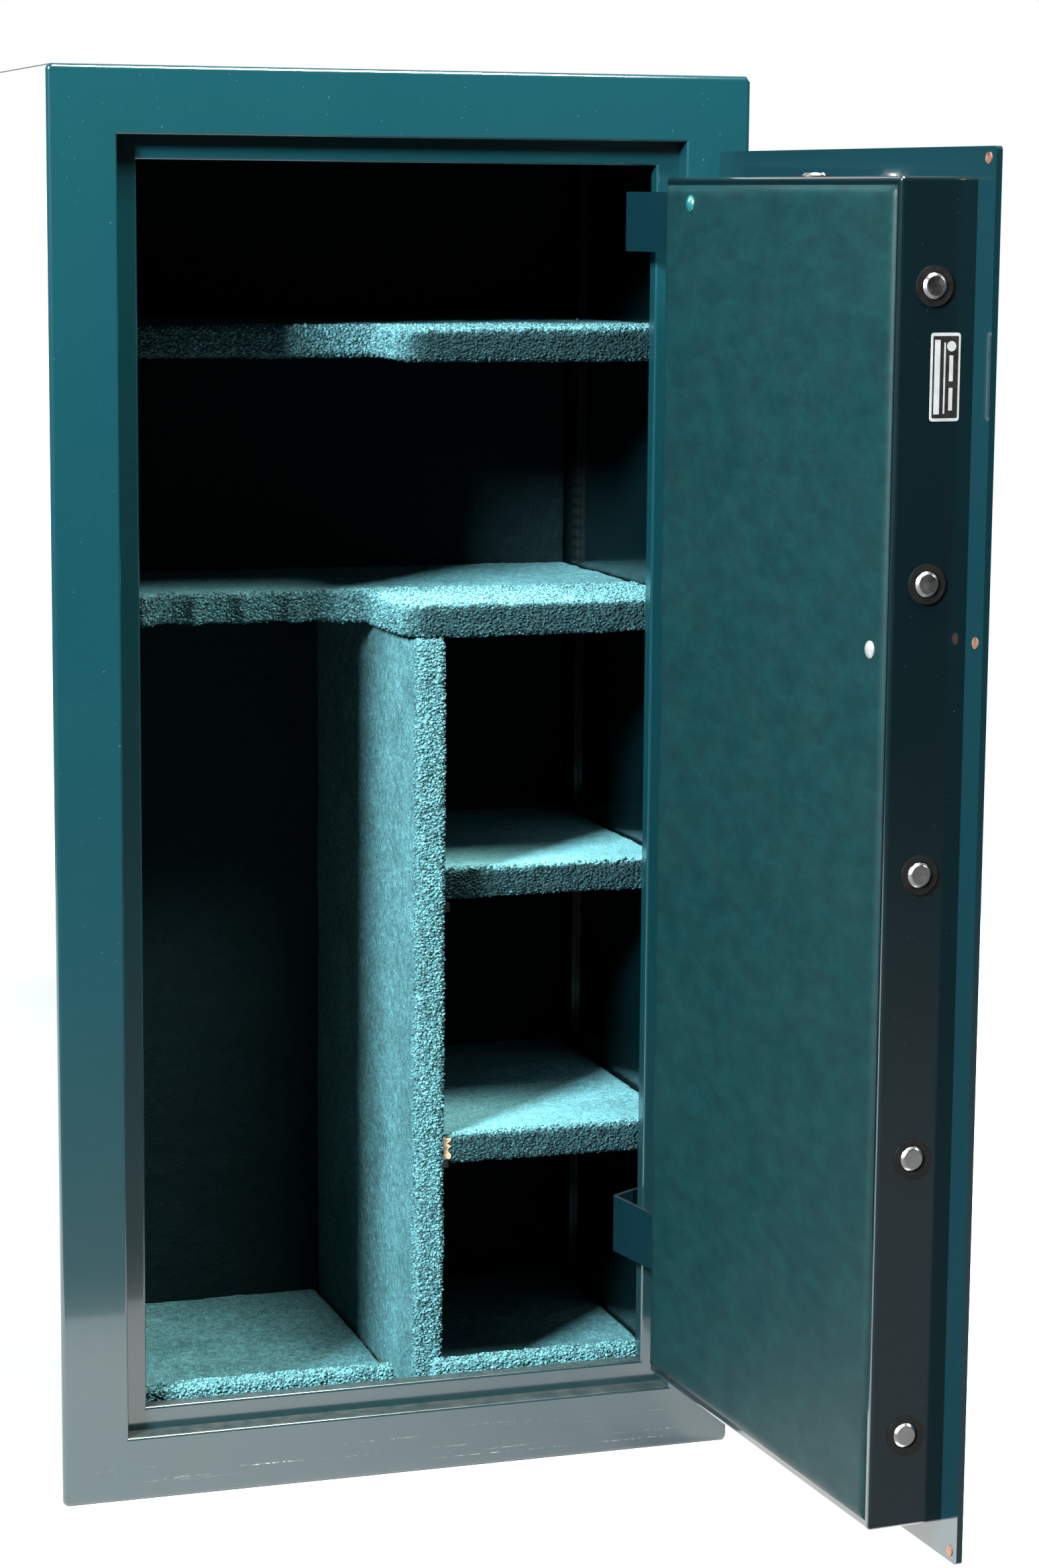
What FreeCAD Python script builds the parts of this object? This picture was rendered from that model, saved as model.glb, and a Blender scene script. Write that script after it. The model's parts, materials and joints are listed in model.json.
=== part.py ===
"""Upright gun safe with a carpeted interior, shown with its door open.

Frame: millimetres, +Z up, origin at the centre of the cabinet's underside.
The front face looks along -Y and +X is on the right of someone facing it.
Lengths called "from the left", "from the front" and "up" start at the cabinet's
left side, front face and underside. The door and its bolt work are drawn shut
and then swung open about the hinge pins.
"""
import math
import os
import re

import FreeCAD
import Part
import Sketcher
from FreeCAD import Placement, Rotation, Vector

# ---------------------------------------------------------------- driving sizes
SIZES = {
    # cabinet
    "body_width": 762.0, "body_height": 1524.0, "body_depth": 584.0,
    "steel": 3.4, "corner_radius": 6.0, "rim_radius": 5.0, "rim_depth": 14.0,
    "stile": 72.0, "rail": 70.0, "ledge": 25.0,
    "recess_depth": 25.0, "return_depth": 42.0, "roll_radius": 3.0,
    "fireboard": 12.7, "liner": 0.9, "liner_front": 122.0,
    "anchor_radius": 7.0, "anchor_across": 457.0, "anchor_along": 330.0,
    # interior
    "carpet": 9.0, "plywood": 19.0, "back_carpet": 10.7,
    "lip_front": 52.0, "lip_thickness": 14.0, "lip_height": 107.0,
    "lip_gap_start": 384.0, "lip_gap_end": 430.0,
    "divider_left": 424.5, "divider_width": 36.0, "shelf_front": 117.0,
    "top_shelf_up": 1253.0, "rest_shelf_up": 951.0, "shelf_step_at": 408.0,
    "top_shelf_setback": 240.0, "rest_shelf_setback": 285.0,
    "notch_pitch": 57.2, "notch_radius": 26.0, "notch_depth": 16.0,
    "upper_shelf_up": 646.0, "upper_shelf_front": 168.0,
    "lower_shelf_up": 349.0, "lower_shelf_front": 124.0,
    "shelf_corner": 30.0, "gap": 0.3,
    "standard_width": 16.0, "standard_proud": 5.0,
    "standard_front": 150.0, "standard_back": 500.0,
    # door
    "open_angle": 94.0, "hinge_left": 720.5, "hinge_front": 21.0,
    "plate_gap_side": 9.0, "plate_gap_end": 10.0, "plate": 6.35,
    "plate_back": 24.0, "door_depth": 83.0,
    "box_left": 114.0, "box_right": 640.0, "box_bottom": 114.0, "box_top": 1416.0,
    "box_steel": 2.7, "panel": 3.0,
    "panel_left": 120.8, "panel_right": 638.4,
    "panel_bottom": 123.0, "panel_top": 1408.0,
    # bolt work
    "bolt_radius": 12.7, "bolt_inset": 40.0, "bolt_pitch": 277.0,
    "bolt_proud": 4.0, "bolt_length": 84.0, "bezel_radius": 19.0,
    "bolt_chamfer": 3.0, "middle_bolt_up": 762.0,
    "shaft_left": 367.4, "shaft_up": 770.0, "shaft_radius": 8.0,
    "bottom_bolt_left": 406.4,
    "crank_radius": 31.2, "crank_start": 37.5, "crank_pin": 5.0,
    "lock_up": 950.0,
    # hinges
    "arm_height": 63.0, "arm_thickness": 5.0,
    "upper_arm_up": 1338.0, "lower_arm_up": 226.5,
    "pin_radius": 7.0, "knuckle_radius": 11.0,
}
SIDE_BOLTS = 5
NOTCHES = 6
HANDLE_SPOKES = 3

doc = FreeCAD.newDocument("gun_safe")
sheet = doc.addObject("Spreadsheet::Sheet", "Sizes")
for row, (alias, number) in enumerate(SIZES.items(), start=1):
    sheet.set(f"A{row}", alias)
    sheet.set(f"B{row}", str(number))
    sheet.setAlias(f"B{row}", alias)
doc.recompute()

nodes = []          # finished sub-parts, in the order they are made


# ---------------------------------------------------------------- expressions
def cell(text):
    """Turn size names in an expression into references to the sheet's cells."""
    def reference(match):
        word = match.group(0)
        return f"Sizes.{word}" if word in SIZES else word
    return re.sub(r"[a-z_]+", reference, str(text))


def bind(item, **expressions):
    """Bind properties to the sheet; a double underscore stands for a dot."""
    for path, text in expressions.items():
        item.setExpression(path.replace("__", "."), cell(text))


def across(text):
    """Expression for X from a distance measured from the cabinet's left side."""
    return f"-body_width / 2 + ({text})"


def back(text):
    """Expression for Y from a distance measured back from the front face."""
    return f"-body_depth / 2 + ({text})"


def x_at(distance):
    """X for a distance from the left side, as a number."""
    return distance - SIZES["body_width"] / 2


def y_at(distance):
    """Y for a distance back from the front face, as a number."""
    return distance - SIZES["body_depth"] / 2


# ---------------------------------------------------------------- primitives
def block(name, left, right, front, rear, bottom, top):
    """A box between distances from the left, from the front and up."""
    item = doc.addObject("Part::Box", name)
    bind(item, Length=f"({right}) - ({left})", Width=f"({rear}) - ({front})",
         Height=f"({top}) - ({bottom})", Placement__Base__x=across(left),
         Placement__Base__y=back(front), Placement__Base__z=bottom)
    return item


TURNS = {
    "x": Rotation(Vector(0, 1, 0), 90),
    "y": Rotation(Vector(1, 0, 0), -90),
    "z": Rotation(),
}


def rod(name, axis, left, front, up, radius, length):
    """A cylinder starting at a point and running along +X, +Y or +Z."""
    item = doc.addObject("Part::Cylinder", name)
    item.Placement = Placement(Vector(), TURNS[axis])
    bind(item, Radius=radius, Height=length, Placement__Base__x=across(left),
         Placement__Base__y=back(front), Placement__Base__z=up)
    return item


def fuse(name, pieces):
    """One solid out of several that overlap or touch."""
    item = doc.addObject("Part::MultiFuse", name)
    item.Shapes = pieces
    item.Refine = True
    return item


def group(name, pieces):
    """Separate solids kept together in one node."""
    item = doc.addObject("Part::Compound", name)
    item.Links = pieces
    return item


def cut(name, base, tools):
    """The base less its tools."""
    item = doc.addObject("Part::Cut", name)
    item.Base = base
    item.Tool = tools[0] if len(tools) == 1 else group(name + "_tools", tools)
    item.Refine = True
    return item


def rounded(name, base, radius, chosen):
    """Round the edges that the test picks out."""
    doc.recompute()
    item = doc.addObject("Part::Fillet", name)
    item.Base = base
    picked = [number for number, edge in enumerate(base.Shape.Edges, start=1) if chosen(edge)]
    item.Edges = [(number, radius, radius) for number in picked]
    return item


def along(edge, axis):
    """True for a straight edge parallel to an axis."""
    if not isinstance(edge.Curve, Part.Line):
        return False
    return abs(abs(edge.tangentAt(edge.FirstParameter).dot(axis)) - 1) < 1e-6


def keep(item, label):
    """Finish a sub-part that stays with the cabinet."""
    item.Label = label
    nodes.append(item)
    return item


def swing(item, label):
    """Finish a sub-part of the door: turn it open about the hinge axis."""
    item = group(label + "_swung", [item])
    item.Placement = Placement(Vector(), Rotation(Vector(0, 0, 1), SIZES["open_angle"]))
    axis_x = f"({across('hinge_left')})"
    axis_y = f"({back('hinge_front')})"
    turn = "open_angle * 1 deg"
    bind(item, Placement__Rotation__Angle="open_angle",
         Placement__Base__x=f"{axis_x} * (1 - cos({turn})) + {axis_y} * sin({turn})",
         Placement__Base__y=f"{axis_y} * (1 - cos({turn})) - {axis_x} * sin({turn})")
    return keep(item, label)


# ---------------------------------------------------------------- bodies and sketches
def plane_of(body, role):
    """One of a body's own origin planes."""
    return next(item for item in body.Origin.OriginFeatures if item.Role == role)


def sketch_in(body, name, role, offset="0"):
    """A sketch on an origin plane, moved along its normal by an expression."""
    sketch = body.newObject("Sketcher::SketchObject", name)
    sketch.AttachmentSupport = [(plane_of(body, role), "")]
    sketch.MapMode = "FlatFace"
    bind(sketch, AttachmentOffset__Base__z=offset)
    return sketch


def add_rectangle(sketch, left, right, low, high):
    """A rectangle whose four sides are bound to expressions."""
    first = sketch.GeometryCount
    corners = [(0, 0), (10, 0), (10, 10), (0, 10)]
    for start, end in zip(corners, corners[1:] + corners[:1]):
        sketch.addGeometry(Part.LineSegment(Vector(*start, 0), Vector(*end, 0)))
    for step in range(4):
        sketch.addConstraint(Sketcher.Constraint(
            "Coincident", first + step, 2, first + (step + 1) % 4, 1))
    for step, kind in enumerate(("Horizontal", "Vertical", "Horizontal", "Vertical")):
        sketch.addConstraint(Sketcher.Constraint(kind, first + step))
    rules = (("DistanceX", first, left), ("DistanceY", first, low),
             ("DistanceX", first + 2, right), ("DistanceY", first + 2, high))
    for kind, line, text in rules:
        number = sketch.addConstraint(Sketcher.Constraint(kind, -1, 1, line, 1, 5.0))
        sketch.setExpression(f"Constraints[{number}]", cell(text))


def extrude(body, sketch, name, length, reverse=False, remove=False):
    """Pad or pocket a sketch, checking that the body's volume really changes."""
    before = body.Shape.Volume if body.Tip else 0.0
    kind = "PartDesign::Pocket" if remove else "PartDesign::Pad"
    feature = body.newObject(kind, name)
    feature.Profile = sketch
    bind(feature, Length=length)
    feature.Reversed = reverse
    doc.recompute()
    change = body.Shape.Volume - before
    if (change >= 0) if remove else (change <= 0):
        raise RuntimeError(f"{name} changed nothing")
    return feature


def smooth(body, base, name, radius, chosen):
    """Fillet the chosen edges of a body's last feature."""
    feature = body.newObject("PartDesign::Fillet", name)
    picked = [f"Edge{number}" for number, edge in enumerate(base.Shape.Edges, start=1)
              if chosen(edge)]
    feature.Base = (base, picked)
    bind(feature, Radius=radius)
    doc.recompute()
    return feature


def new_body(name):
    return doc.addObject("PartDesign::Body", name)


def revolve(name, points, axis, left, front, up):
    """A turned piece: half-profile points (along, radius) about a line through a point."""
    body = new_body(name)
    sketch = sketch_in(body, name + "_profile", "XY_Plane")
    for start, end in zip(points, points[1:] + points[:1]):
        sketch.addGeometry(Part.LineSegment(Vector(*start, 0), Vector(*end, 0)))
    turned = body.newObject("PartDesign::Revolution", name + "_turn")
    turned.Profile = sketch
    turned.ReferenceAxis = (sketch, ["H_Axis"])
    turned.Angle = 360
    holder = group(name + "_place", [body])
    body.Placement = Placement(Vector(), {
        "x": Rotation(),
        "y": Rotation(Vector(0, 0, 1), 90),
        "z": Rotation(Vector(0, 1, 0), -90),
        "-z": Rotation(Vector(0, 1, 0), 90),
    }[axis])
    bind(body, Placement__Base__x=across(left), Placement__Base__y=back(front),
         Placement__Base__z=up)
    return holder


# ---------------------------------------------------------------- cabinet
def make_body_shell():
    """Wrap, back and floor: a welded steel tub, open at the front."""
    body = new_body("body_shell_body")
    outer = sketch_in(body, "shell_outer", "XZ_Plane", "body_depth / 2 - rim_depth")
    add_rectangle(outer, "-body_width / 2", "body_width / 2", "0", "body_height")
    tub = extrude(body, outer, "shell_wrap", "body_depth - rim_depth", reverse=True)
    tub = smooth(body, tub, "shell_corners", "corner_radius",
                 lambda edge: along(edge, Vector(0, 1, 0)))
    inner = sketch_in(body, "shell_inner", "XZ_Plane", "body_depth / 2 - rim_depth")
    add_rectangle(inner, "-body_width / 2 + steel", "body_width / 2 - steel",
                  "steel", "body_height - steel")
    extrude(body, inner, "shell_hollow", "body_depth - rim_depth - steel", remove=True)
    return body


def make_cabinet():
    """Steelwork and fire lining of the cabinet."""
    shell = make_body_shell()
    holes = [rod(f"anchor_hole_{side}_{end}", "z",
                 f"body_width / 2 + {side} * anchor_across / 2",
                 f"body_depth / 2 + {end} * anchor_along / 2", "-1", "anchor_radius", "steel + 2")
             for side in (-1, 1) for end in (-1, 1)]
    keep(cut("shell_drilled", shell, holes), "body_shell")
    keep(make_front_frame(), "front_frame")

    inside_left, inside_right = "steel + gap", "body_width - steel - gap"
    board_back = "body_depth - steel - gap"
    side_top, side_bottom = "body_height - steel - fireboard", "steel + fireboard"
    keep(block("board_back", inside_left, inside_right, "body_depth - steel - fireboard",
               board_back, side_bottom, side_top), "fireboard_back")
    front = "liner_front"
    rear = "body_depth - steel - fireboard - gap"
    keep(block("board_left", inside_left, "steel + fireboard", front, rear,
               side_bottom, side_top), "fireboard_left")
    keep(block("board_right", "body_width - steel - fireboard", inside_right, front, rear,
               side_bottom, side_top), "fireboard_right")
    keep(block("board_top", inside_left, inside_right, front, board_back,
               side_top + " + gap", "body_height - steel - gap"), "fireboard_top")
    floor = block("board_floor", inside_left, inside_right, "return_depth + 3", board_back,
                  "steel + gap", side_bottom + " - gap")
    keep(cut("board_floor_drilled", floor, floor_access_holes("board")), "fireboard_floor")
    keep(make_inner_liner(), "inner_liner")


def floor_access_holes(name):
    """Clearance holes over the four anchor holes, through what lies on the floor."""
    return [rod(f"{name}_access_{side}_{end}", "z",
                f"body_width / 2 + {side} * anchor_across / 2",
                f"body_depth / 2 + {end} * anchor_along / 2", "1",
                "anchor_radius * 3", "70")
            for side in (-1, 1) for end in (-1, 1)]


def make_front_frame():
    """Stepped door frame: face, recess wall, ledge and a return behind the opening."""
    body = new_body("front_frame_body")
    left, right = "-body_width / 2", "body_width / 2"
    steps = (
        # name, outer inset, inner inset side, inner inset end, from, to
        ("face", "0", "0", "stile", "rail", "0", "steel"),
        ("rim", "0", "0", "steel", "steel", "steel", "rim_depth"),
        ("recess", "stile - steel", "rail - steel", "stile", "rail", "0", "recess_depth + steel"),
        ("ledge", "stile - steel", "rail - steel", "stile + ledge", "rail + ledge",
         "recess_depth", "recess_depth + steel"),
        ("return", "stile + ledge - steel", "rail + ledge - steel", "stile + ledge",
         "rail + ledge", "recess_depth", "return_depth"),
    )
    for name, outer_side, outer_end, inner_side, inner_end, start, end in steps:
        sketch = sketch_in(body, f"frame_{name}", "XZ_Plane", f"body_depth / 2 - ({start})")
        add_rectangle(sketch, f"{left} + {outer_side}", f"{right} - ({outer_side})",
                      outer_end, f"body_height - ({outer_end})")
        add_rectangle(sketch, f"{left} + {inner_side}", f"{right} - ({inner_side})",
                      inner_end, f"body_height - ({inner_end})")
        last = extrude(body, sketch, f"frame_{name}_pad", f"({end}) - ({start})", reverse=True)
    size = SIZES

    def opening_edge(edge, inset_side, inset_end, front):
        box = edge.BoundBox
        middle = box.Center
        if box.YLength > 0.01 or abs(middle.y - y_at(front)) > 0.01:
            return False
        on_side = abs(abs(middle.x) - (size["body_width"] / 2 - inset_side)) < 0.01
        half = size["body_height"] / 2
        on_end = abs(abs(middle.z - half) - (half - inset_end)) < 0.01
        return on_side or on_end

    def corner_edge(edge):
        box = edge.BoundBox
        inset = size["body_width"] / 2 - abs(box.Center.x)
        return along(edge, Vector(0, 1, 0)) and inset < 0.01

    last = smooth(body, last, "frame_outer_corners", "corner_radius", corner_edge)
    last = smooth(body, last, "frame_rim_roll", "rim_radius",
                  lambda edge: opening_edge(edge, 0, 0, 0))
    last = smooth(body, last, "frame_recess_roll", "roll_radius",
                  lambda edge: opening_edge(edge, size["stile"], size["rail"], 0))
    smooth(body, last, "frame_ledge_roll", "roll_radius", lambda edge: opening_edge(
        edge, size["stile"] + size["ledge"], size["rail"] + size["ledge"], size["recess_depth"]))
    return body


def make_inner_liner():
    """Painted sheet that lines the safe, with a flange closing its front edge."""
    wall = "steel + fireboard"
    outer = block("liner_outer", wall, f"body_width - ({wall})", "liner_front - liner",
                  "body_depth - steel - fireboard - gap", f"{wall} + gap",
                  f"body_height - ({wall}) - gap")
    inner = block("liner_inner", f"{wall} + liner", f"body_width - ({wall}) - liner",
                  "liner_front - 5 * liner", "body_depth - steel - fireboard - gap - liner",
                  f"{wall} + liner", f"body_height - ({wall}) - liner")
    tub = cut("liner_tub", outer, [inner] + floor_access_holes("liner"))
    flange = []
    for name, left, right in (("left", "steel + gap", f"{wall} + liner"),
                              ("right", f"body_width - ({wall}) - liner",
                               "body_width - steel - gap")):
        flange.append(block(f"liner_flange_{name}", left, right, "liner_front - liner",
                            "liner_front - 0.01", wall, f"body_height - ({wall})"))
    return fuse("liner_sheet", [tub] + flange)


# ---------------------------------------------------------------- interior
INNER_LEFT = "steel + fireboard + liner + gap"
INNER_RIGHT = "body_width - (steel + fireboard + liner + gap)"
INNER_BACK = "body_depth - steel - fireboard - liner - back_carpet - 2 * gap"
FLOOR_UP = "steel + fireboard + liner + gap"
FLOOR_TOP = f"{FLOOR_UP} + plywood + carpet"


def make_floor():
    """Plywood floor and its two carpets, each with a curled-up front lip."""
    lip_back = "lip_front + lip_thickness"
    board = block("floor_board_raw", INNER_LEFT, INNER_RIGHT, f"{lip_back} + gap", INNER_BACK,
                  FLOOR_UP, f"{FLOOR_UP} + plywood")
    keep(cut("floor_board_drilled", board, floor_access_holes("plywood")), "floor_board")
    divider_right = "divider_left + divider_width"
    halves = (
        ("left", INNER_LEFT, "divider_left - gap", INNER_LEFT, "lip_gap_start"),
        ("right", f"{divider_right} + gap", INNER_RIGHT, "lip_gap_end", INNER_RIGHT),
    )
    for name, left, right, lip_left, lip_right in halves:
        bottom = f"{FLOOR_UP} + plywood + gap"
        pile = block(f"{name}_pile", left, right, f"{lip_back} - 1", f"{INNER_BACK} - gap",
                     bottom, FLOOR_TOP)
        lip = block(f"{name}_lip", lip_left, lip_right, "lip_front", lip_back,
                    bottom, "lip_height")
        lip = rounded(f"{name}_lip_round", lip, SIZES["lip_thickness"] * 0.45,
                      lambda edge: along(edge, Vector(1, 0, 0))
                      and edge.BoundBox.ZMax > SIZES["lip_height"] - 1)
        tongue = block(f"{name}_tongue", lip_left if name == "right" else left,
                       right, f"{lip_back} - 1", "shelf_front - gap", bottom, FLOOR_TOP)
        keep(fuse(f"{name}_floor_carpet", [pile, lip, tongue]), f"floor_carpet_{name}")


def wrapped_board(label, board, cover):
    """A plywood core and the carpet wrapped round it, as two nodes."""
    keep(board, label + "_board")
    keep(cut(label + "_wrap", cover, [board]), label + "_carpet")


def stepped_outline(sketch, front, setback, rear, inset, notched):
    """Plan of a full-width shelf: deep on the right, set back on the left."""
    size = SIZES
    wall = size["steel"] + size["fireboard"] + size["liner"] + size["gap"]
    left = x_at(wall)
    right = x_at(size["body_width"] - wall)
    step = x_at(size["shelf_step_at"] + inset)
    near, far = y_at(front + inset), y_at(setback + inset)
    end = y_at(rear)
    radius = size["shelf_corner"] - inset
    path = [Vector(left, end, 0), Vector(right, end, 0), Vector(right, near, 0),
            Vector(step + radius, near, 0)]
    pieces = [Part.LineSegment(a, b) for a, b in zip(path, path[1:])]
    pieces.append(Part.ArcOfCircle(
        Part.Circle(Vector(step + radius, near + radius, 0), Vector(0, 0, 1), radius),
        math.pi, math.pi * 1.5))
    pieces.append(Part.LineSegment(Vector(step, near + radius, 0), Vector(step, far, 0)))
    edge = Vector(step, far, 0)
    if notched:
        half = math.sqrt(size["notch_radius"] ** 2
                         - (size["notch_radius"] - size["notch_depth"]) ** 2)
        sweep = math.acos(1 - size["notch_depth"] / size["notch_radius"])
        for number in range(NOTCHES):
            middle = step - 20 - inset - size["notch_pitch"] * (number + 0.5)
            entry = Vector(middle + half, far, 0)
            centre = Vector(middle, far - size["notch_radius"] + size["notch_depth"], 0)
            pieces.append(Part.LineSegment(edge, entry))
            pieces.append(Part.ArcOfCircle(
                Part.Circle(centre, Vector(0, 0, 1), size["notch_radius"]),
                math.pi / 2 - sweep, math.pi / 2 + sweep))
            edge = Vector(middle - half, far, 0)
    pieces.append(Part.LineSegment(edge, Vector(left, far, 0)))
    pieces.append(Part.LineSegment(Vector(left, far, 0), Vector(left, end, 0)))
    sketch.addGeometry(pieces)


def stepped_shelf(label, up, setback, notched):
    """A shelf across the whole safe: plywood core inside a carpet wrap."""
    size = SIZES
    rear = (size["body_depth"] - size["steel"] - size["fireboard"] - size["liner"]
            - size["back_carpet"] - 3 * size["gap"])
    slabs = []
    for part, inset, bottom, thickness in (
            ("core", size["carpet"], f"{up} - carpet - plywood", "plywood"),
            ("cover", 0.0, f"{up} - 2 * carpet - plywood", "plywood + 2 * carpet")):
        body = new_body(f"{label}_{part}")
        sketch = sketch_in(body, f"{label}_{part}_plan", "XY_Plane", bottom)
        stepped_outline(sketch, size["shelf_front"], size[setback], rear, inset, notched)
        pad = extrude(body, sketch, f"{label}_{part}_pad", thickness)
        if part == "cover":
            front = y_at(size["shelf_front"]) + 0.01
            smooth(body, pad, f"{label}_nose", "carpet * 0.9",
                   lambda edge: along(edge, Vector(1, 0, 0)) and edge.BoundBox.YMax < front)
        slabs.append(body)
    wrapped_board(label, *slabs)


def make_interior():
    """Carpets, divider, shelves and their supports."""
    keep(block("back_pile", INNER_LEFT, INNER_RIGHT,
               "body_depth - steel - fireboard - liner - gap - back_carpet",
               "body_depth - steel - fireboard - liner - 2 * gap",
               f"{FLOOR_UP}", "body_height - steel - fireboard - liner - gap"), "back_carpet")
    make_floor()

    shelf_thickness = "(plywood + 2 * carpet)"
    divider_right = "divider_left + divider_width"
    rear = f"{INNER_BACK} - gap"
    board = block("divider_core", "divider_left + (divider_width - plywood) / 2",
                  f"{divider_right} - (divider_width - plywood) / 2", "shelf_front + carpet",
                  rear, f"{FLOOR_UP} + plywood + gap",
                  f"rest_shelf_up - {shelf_thickness} - gap")
    cover = block("divider_cover", "divider_left", divider_right, "shelf_front", rear,
                  f"{FLOOR_UP} + plywood + gap", f"rest_shelf_up - {shelf_thickness} - gap")
    front = y_at(SIZES["shelf_front"]) + 0.01
    cover = rounded("divider_nose", cover, SIZES["carpet"] * 0.8,
                    lambda edge: along(edge, Vector(0, 0, 1)) and edge.BoundBox.YMax < front)
    wrapped_board("divider", board, cover)

    stepped_shelf("top_shelf", "top_shelf_up", "top_shelf_setback", notched=False)
    stepped_shelf("rest_shelf", "rest_shelf_up", "rest_shelf_setback", notched=True)
    for name in ("upper", "lower"):
        up, near = f"{name}_shelf_up", f"{name}_shelf_front"
        left = f"{divider_right} + gap"
        board = block(f"{name}_core", f"{left} + 1", f"{INNER_RIGHT} - 1", f"{near} + carpet",
                      rear, f"{up} - carpet - plywood", f"{up} - carpet")
        cover = block(f"{name}_cover", left, INNER_RIGHT, near, rear,
                      f"{up} - {shelf_thickness}", up)
        limit = y_at(SIZES[near]) + 0.01
        cover = rounded(f"{name}_nose", cover, SIZES["carpet"] * 0.9,
                        lambda edge: along(edge, Vector(1, 0, 0))
                        and edge.BoundBox.YMax < limit)
        wrapped_board(f"{name}_shelf", board, cover)
    make_standards()


def make_standards():
    """Slotted shelf rails on the side walls and the clips that carry the shelves."""
    rails = []
    clips = []
    thick = "(plywood + 2 * carpet)"
    spans = (("low", f"{FLOOR_TOP} + 6", f"lower_shelf_up - {thick} - 2"),
             ("mid", "lower_shelf_up + 2", f"upper_shelf_up - {thick} - 2"),
             ("high", "upper_shelf_up + 2", f"rest_shelf_up - {thick} - 2"),
             ("upper", "rest_shelf_up + 2", f"top_shelf_up - {thick} - 2"),
             ("top", "top_shelf_up + 2", "body_height - 60"))
    for depth in ("standard_front", "standard_back"):
        for name, bottom, top in spans:
            sides = [("right", f"{INNER_RIGHT} - standard_proud", INNER_RIGHT)]
            if not (depth == "standard_front" and name in ("upper", "top", "high")):
                sides.append(("left", INNER_LEFT, f"{INNER_LEFT} + standard_proud"))
            for side, left, right in sides:
                rails.append(block(f"rail_{name}_{side}_{depth}", left, right,
                                   depth, f"{depth} + standard_width", bottom, top))
    keep(group("rails", rails), "shelf_standards")
    right_wall = f"{INNER_RIGHT} - standard_proud"
    left_wall = f"{INNER_LEFT} + standard_proud"
    divider_face = "divider_left + divider_width + gap"
    for level, left_end in (("lower", divider_face), ("upper", divider_face),
                            ("rest", left_wall), ("top", left_wall)):
        under = f"{level}_shelf_up - {thick}"
        for depth in ("standard_front", "standard_back"):
            ends = [("right", f"{right_wall} - 14", right_wall)]
            if level in ("lower", "upper") or depth == "standard_back":
                ends.append(("left", left_end, f"{left_end} + 14"))
            for end, left, right in ends:
                clips.append(block(f"clip_{level}_{end}_{depth}", left, right, depth,
                                   f"{depth} + standard_width", f"{under} - 10",
                                   f"{under} - gap"))
    keep(group("clips", clips), "shelf_clips")


# ---------------------------------------------------------------- hinges
def bent_strip(points, radius, thickness):
    """Closed outline of a strip that follows points with rounded bends."""
    half = thickness / 2
    sides = {1: [], -1: []}
    start = points[0]
    for before, corner, after in zip(points, points[1:], points[2:]):
        enter = (corner - before).normalize()
        leave = (after - corner).normalize()
        turn = enter.cross(leave).z
        reach = radius * math.tan(enter.getAngle(leave) / 2)
        bend_in, bend_out = corner - enter * reach, corner + leave * reach
        for side, pieces in sides.items():
            offset = side * half
            normal_in = Vector(-enter.y, enter.x, 0) * offset
            normal_out = Vector(-leave.y, leave.x, 0) * offset
            middle = (leave - enter).normalize()
            towards = math.copysign(1.0, turn)
            centre = bend_in + Vector(-enter.y, enter.x, 0) * radius * towards
            reach_mid = radius - towards * offset
            pieces.append(Part.LineSegment(start + normal_in, bend_in + normal_in))
            pieces.append(Part.Arc(bend_in + normal_in, centre - middle * reach_mid,
                                   bend_out + normal_out))
        start = bend_out
    last = (points[-1] - start).normalize()
    for side, pieces in sides.items():
        normal = Vector(-last.y, last.x, 0) * side * half
        pieces.append(Part.LineSegment(start + normal, points[-1] + normal))
    first = (points[1] - points[0]).normalize()
    first_normal = Vector(-first.y, first.x, 0) * half
    last_normal = Vector(-last.y, last.x, 0) * half
    closing = [Part.LineSegment(points[0] - first_normal, points[0] + first_normal),
               Part.LineSegment(points[-1] + last_normal, points[-1] - last_normal)]
    return sides[1] + sides[-1] + closing


# Bends of a gooseneck arm, drawn shut, measured from the hinge axis.
ARM_BENDS = ((0.0, 0.0), (27.3, 18.1), (32.2, 51.9), (13.6, 86.8), (-78.0, 75.7), (-78.0, 25.0))
ARM_BEND_RADIUS = 6.0
ARM_BOLT_SHARES = (0.18, 0.5, 0.82)


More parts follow.
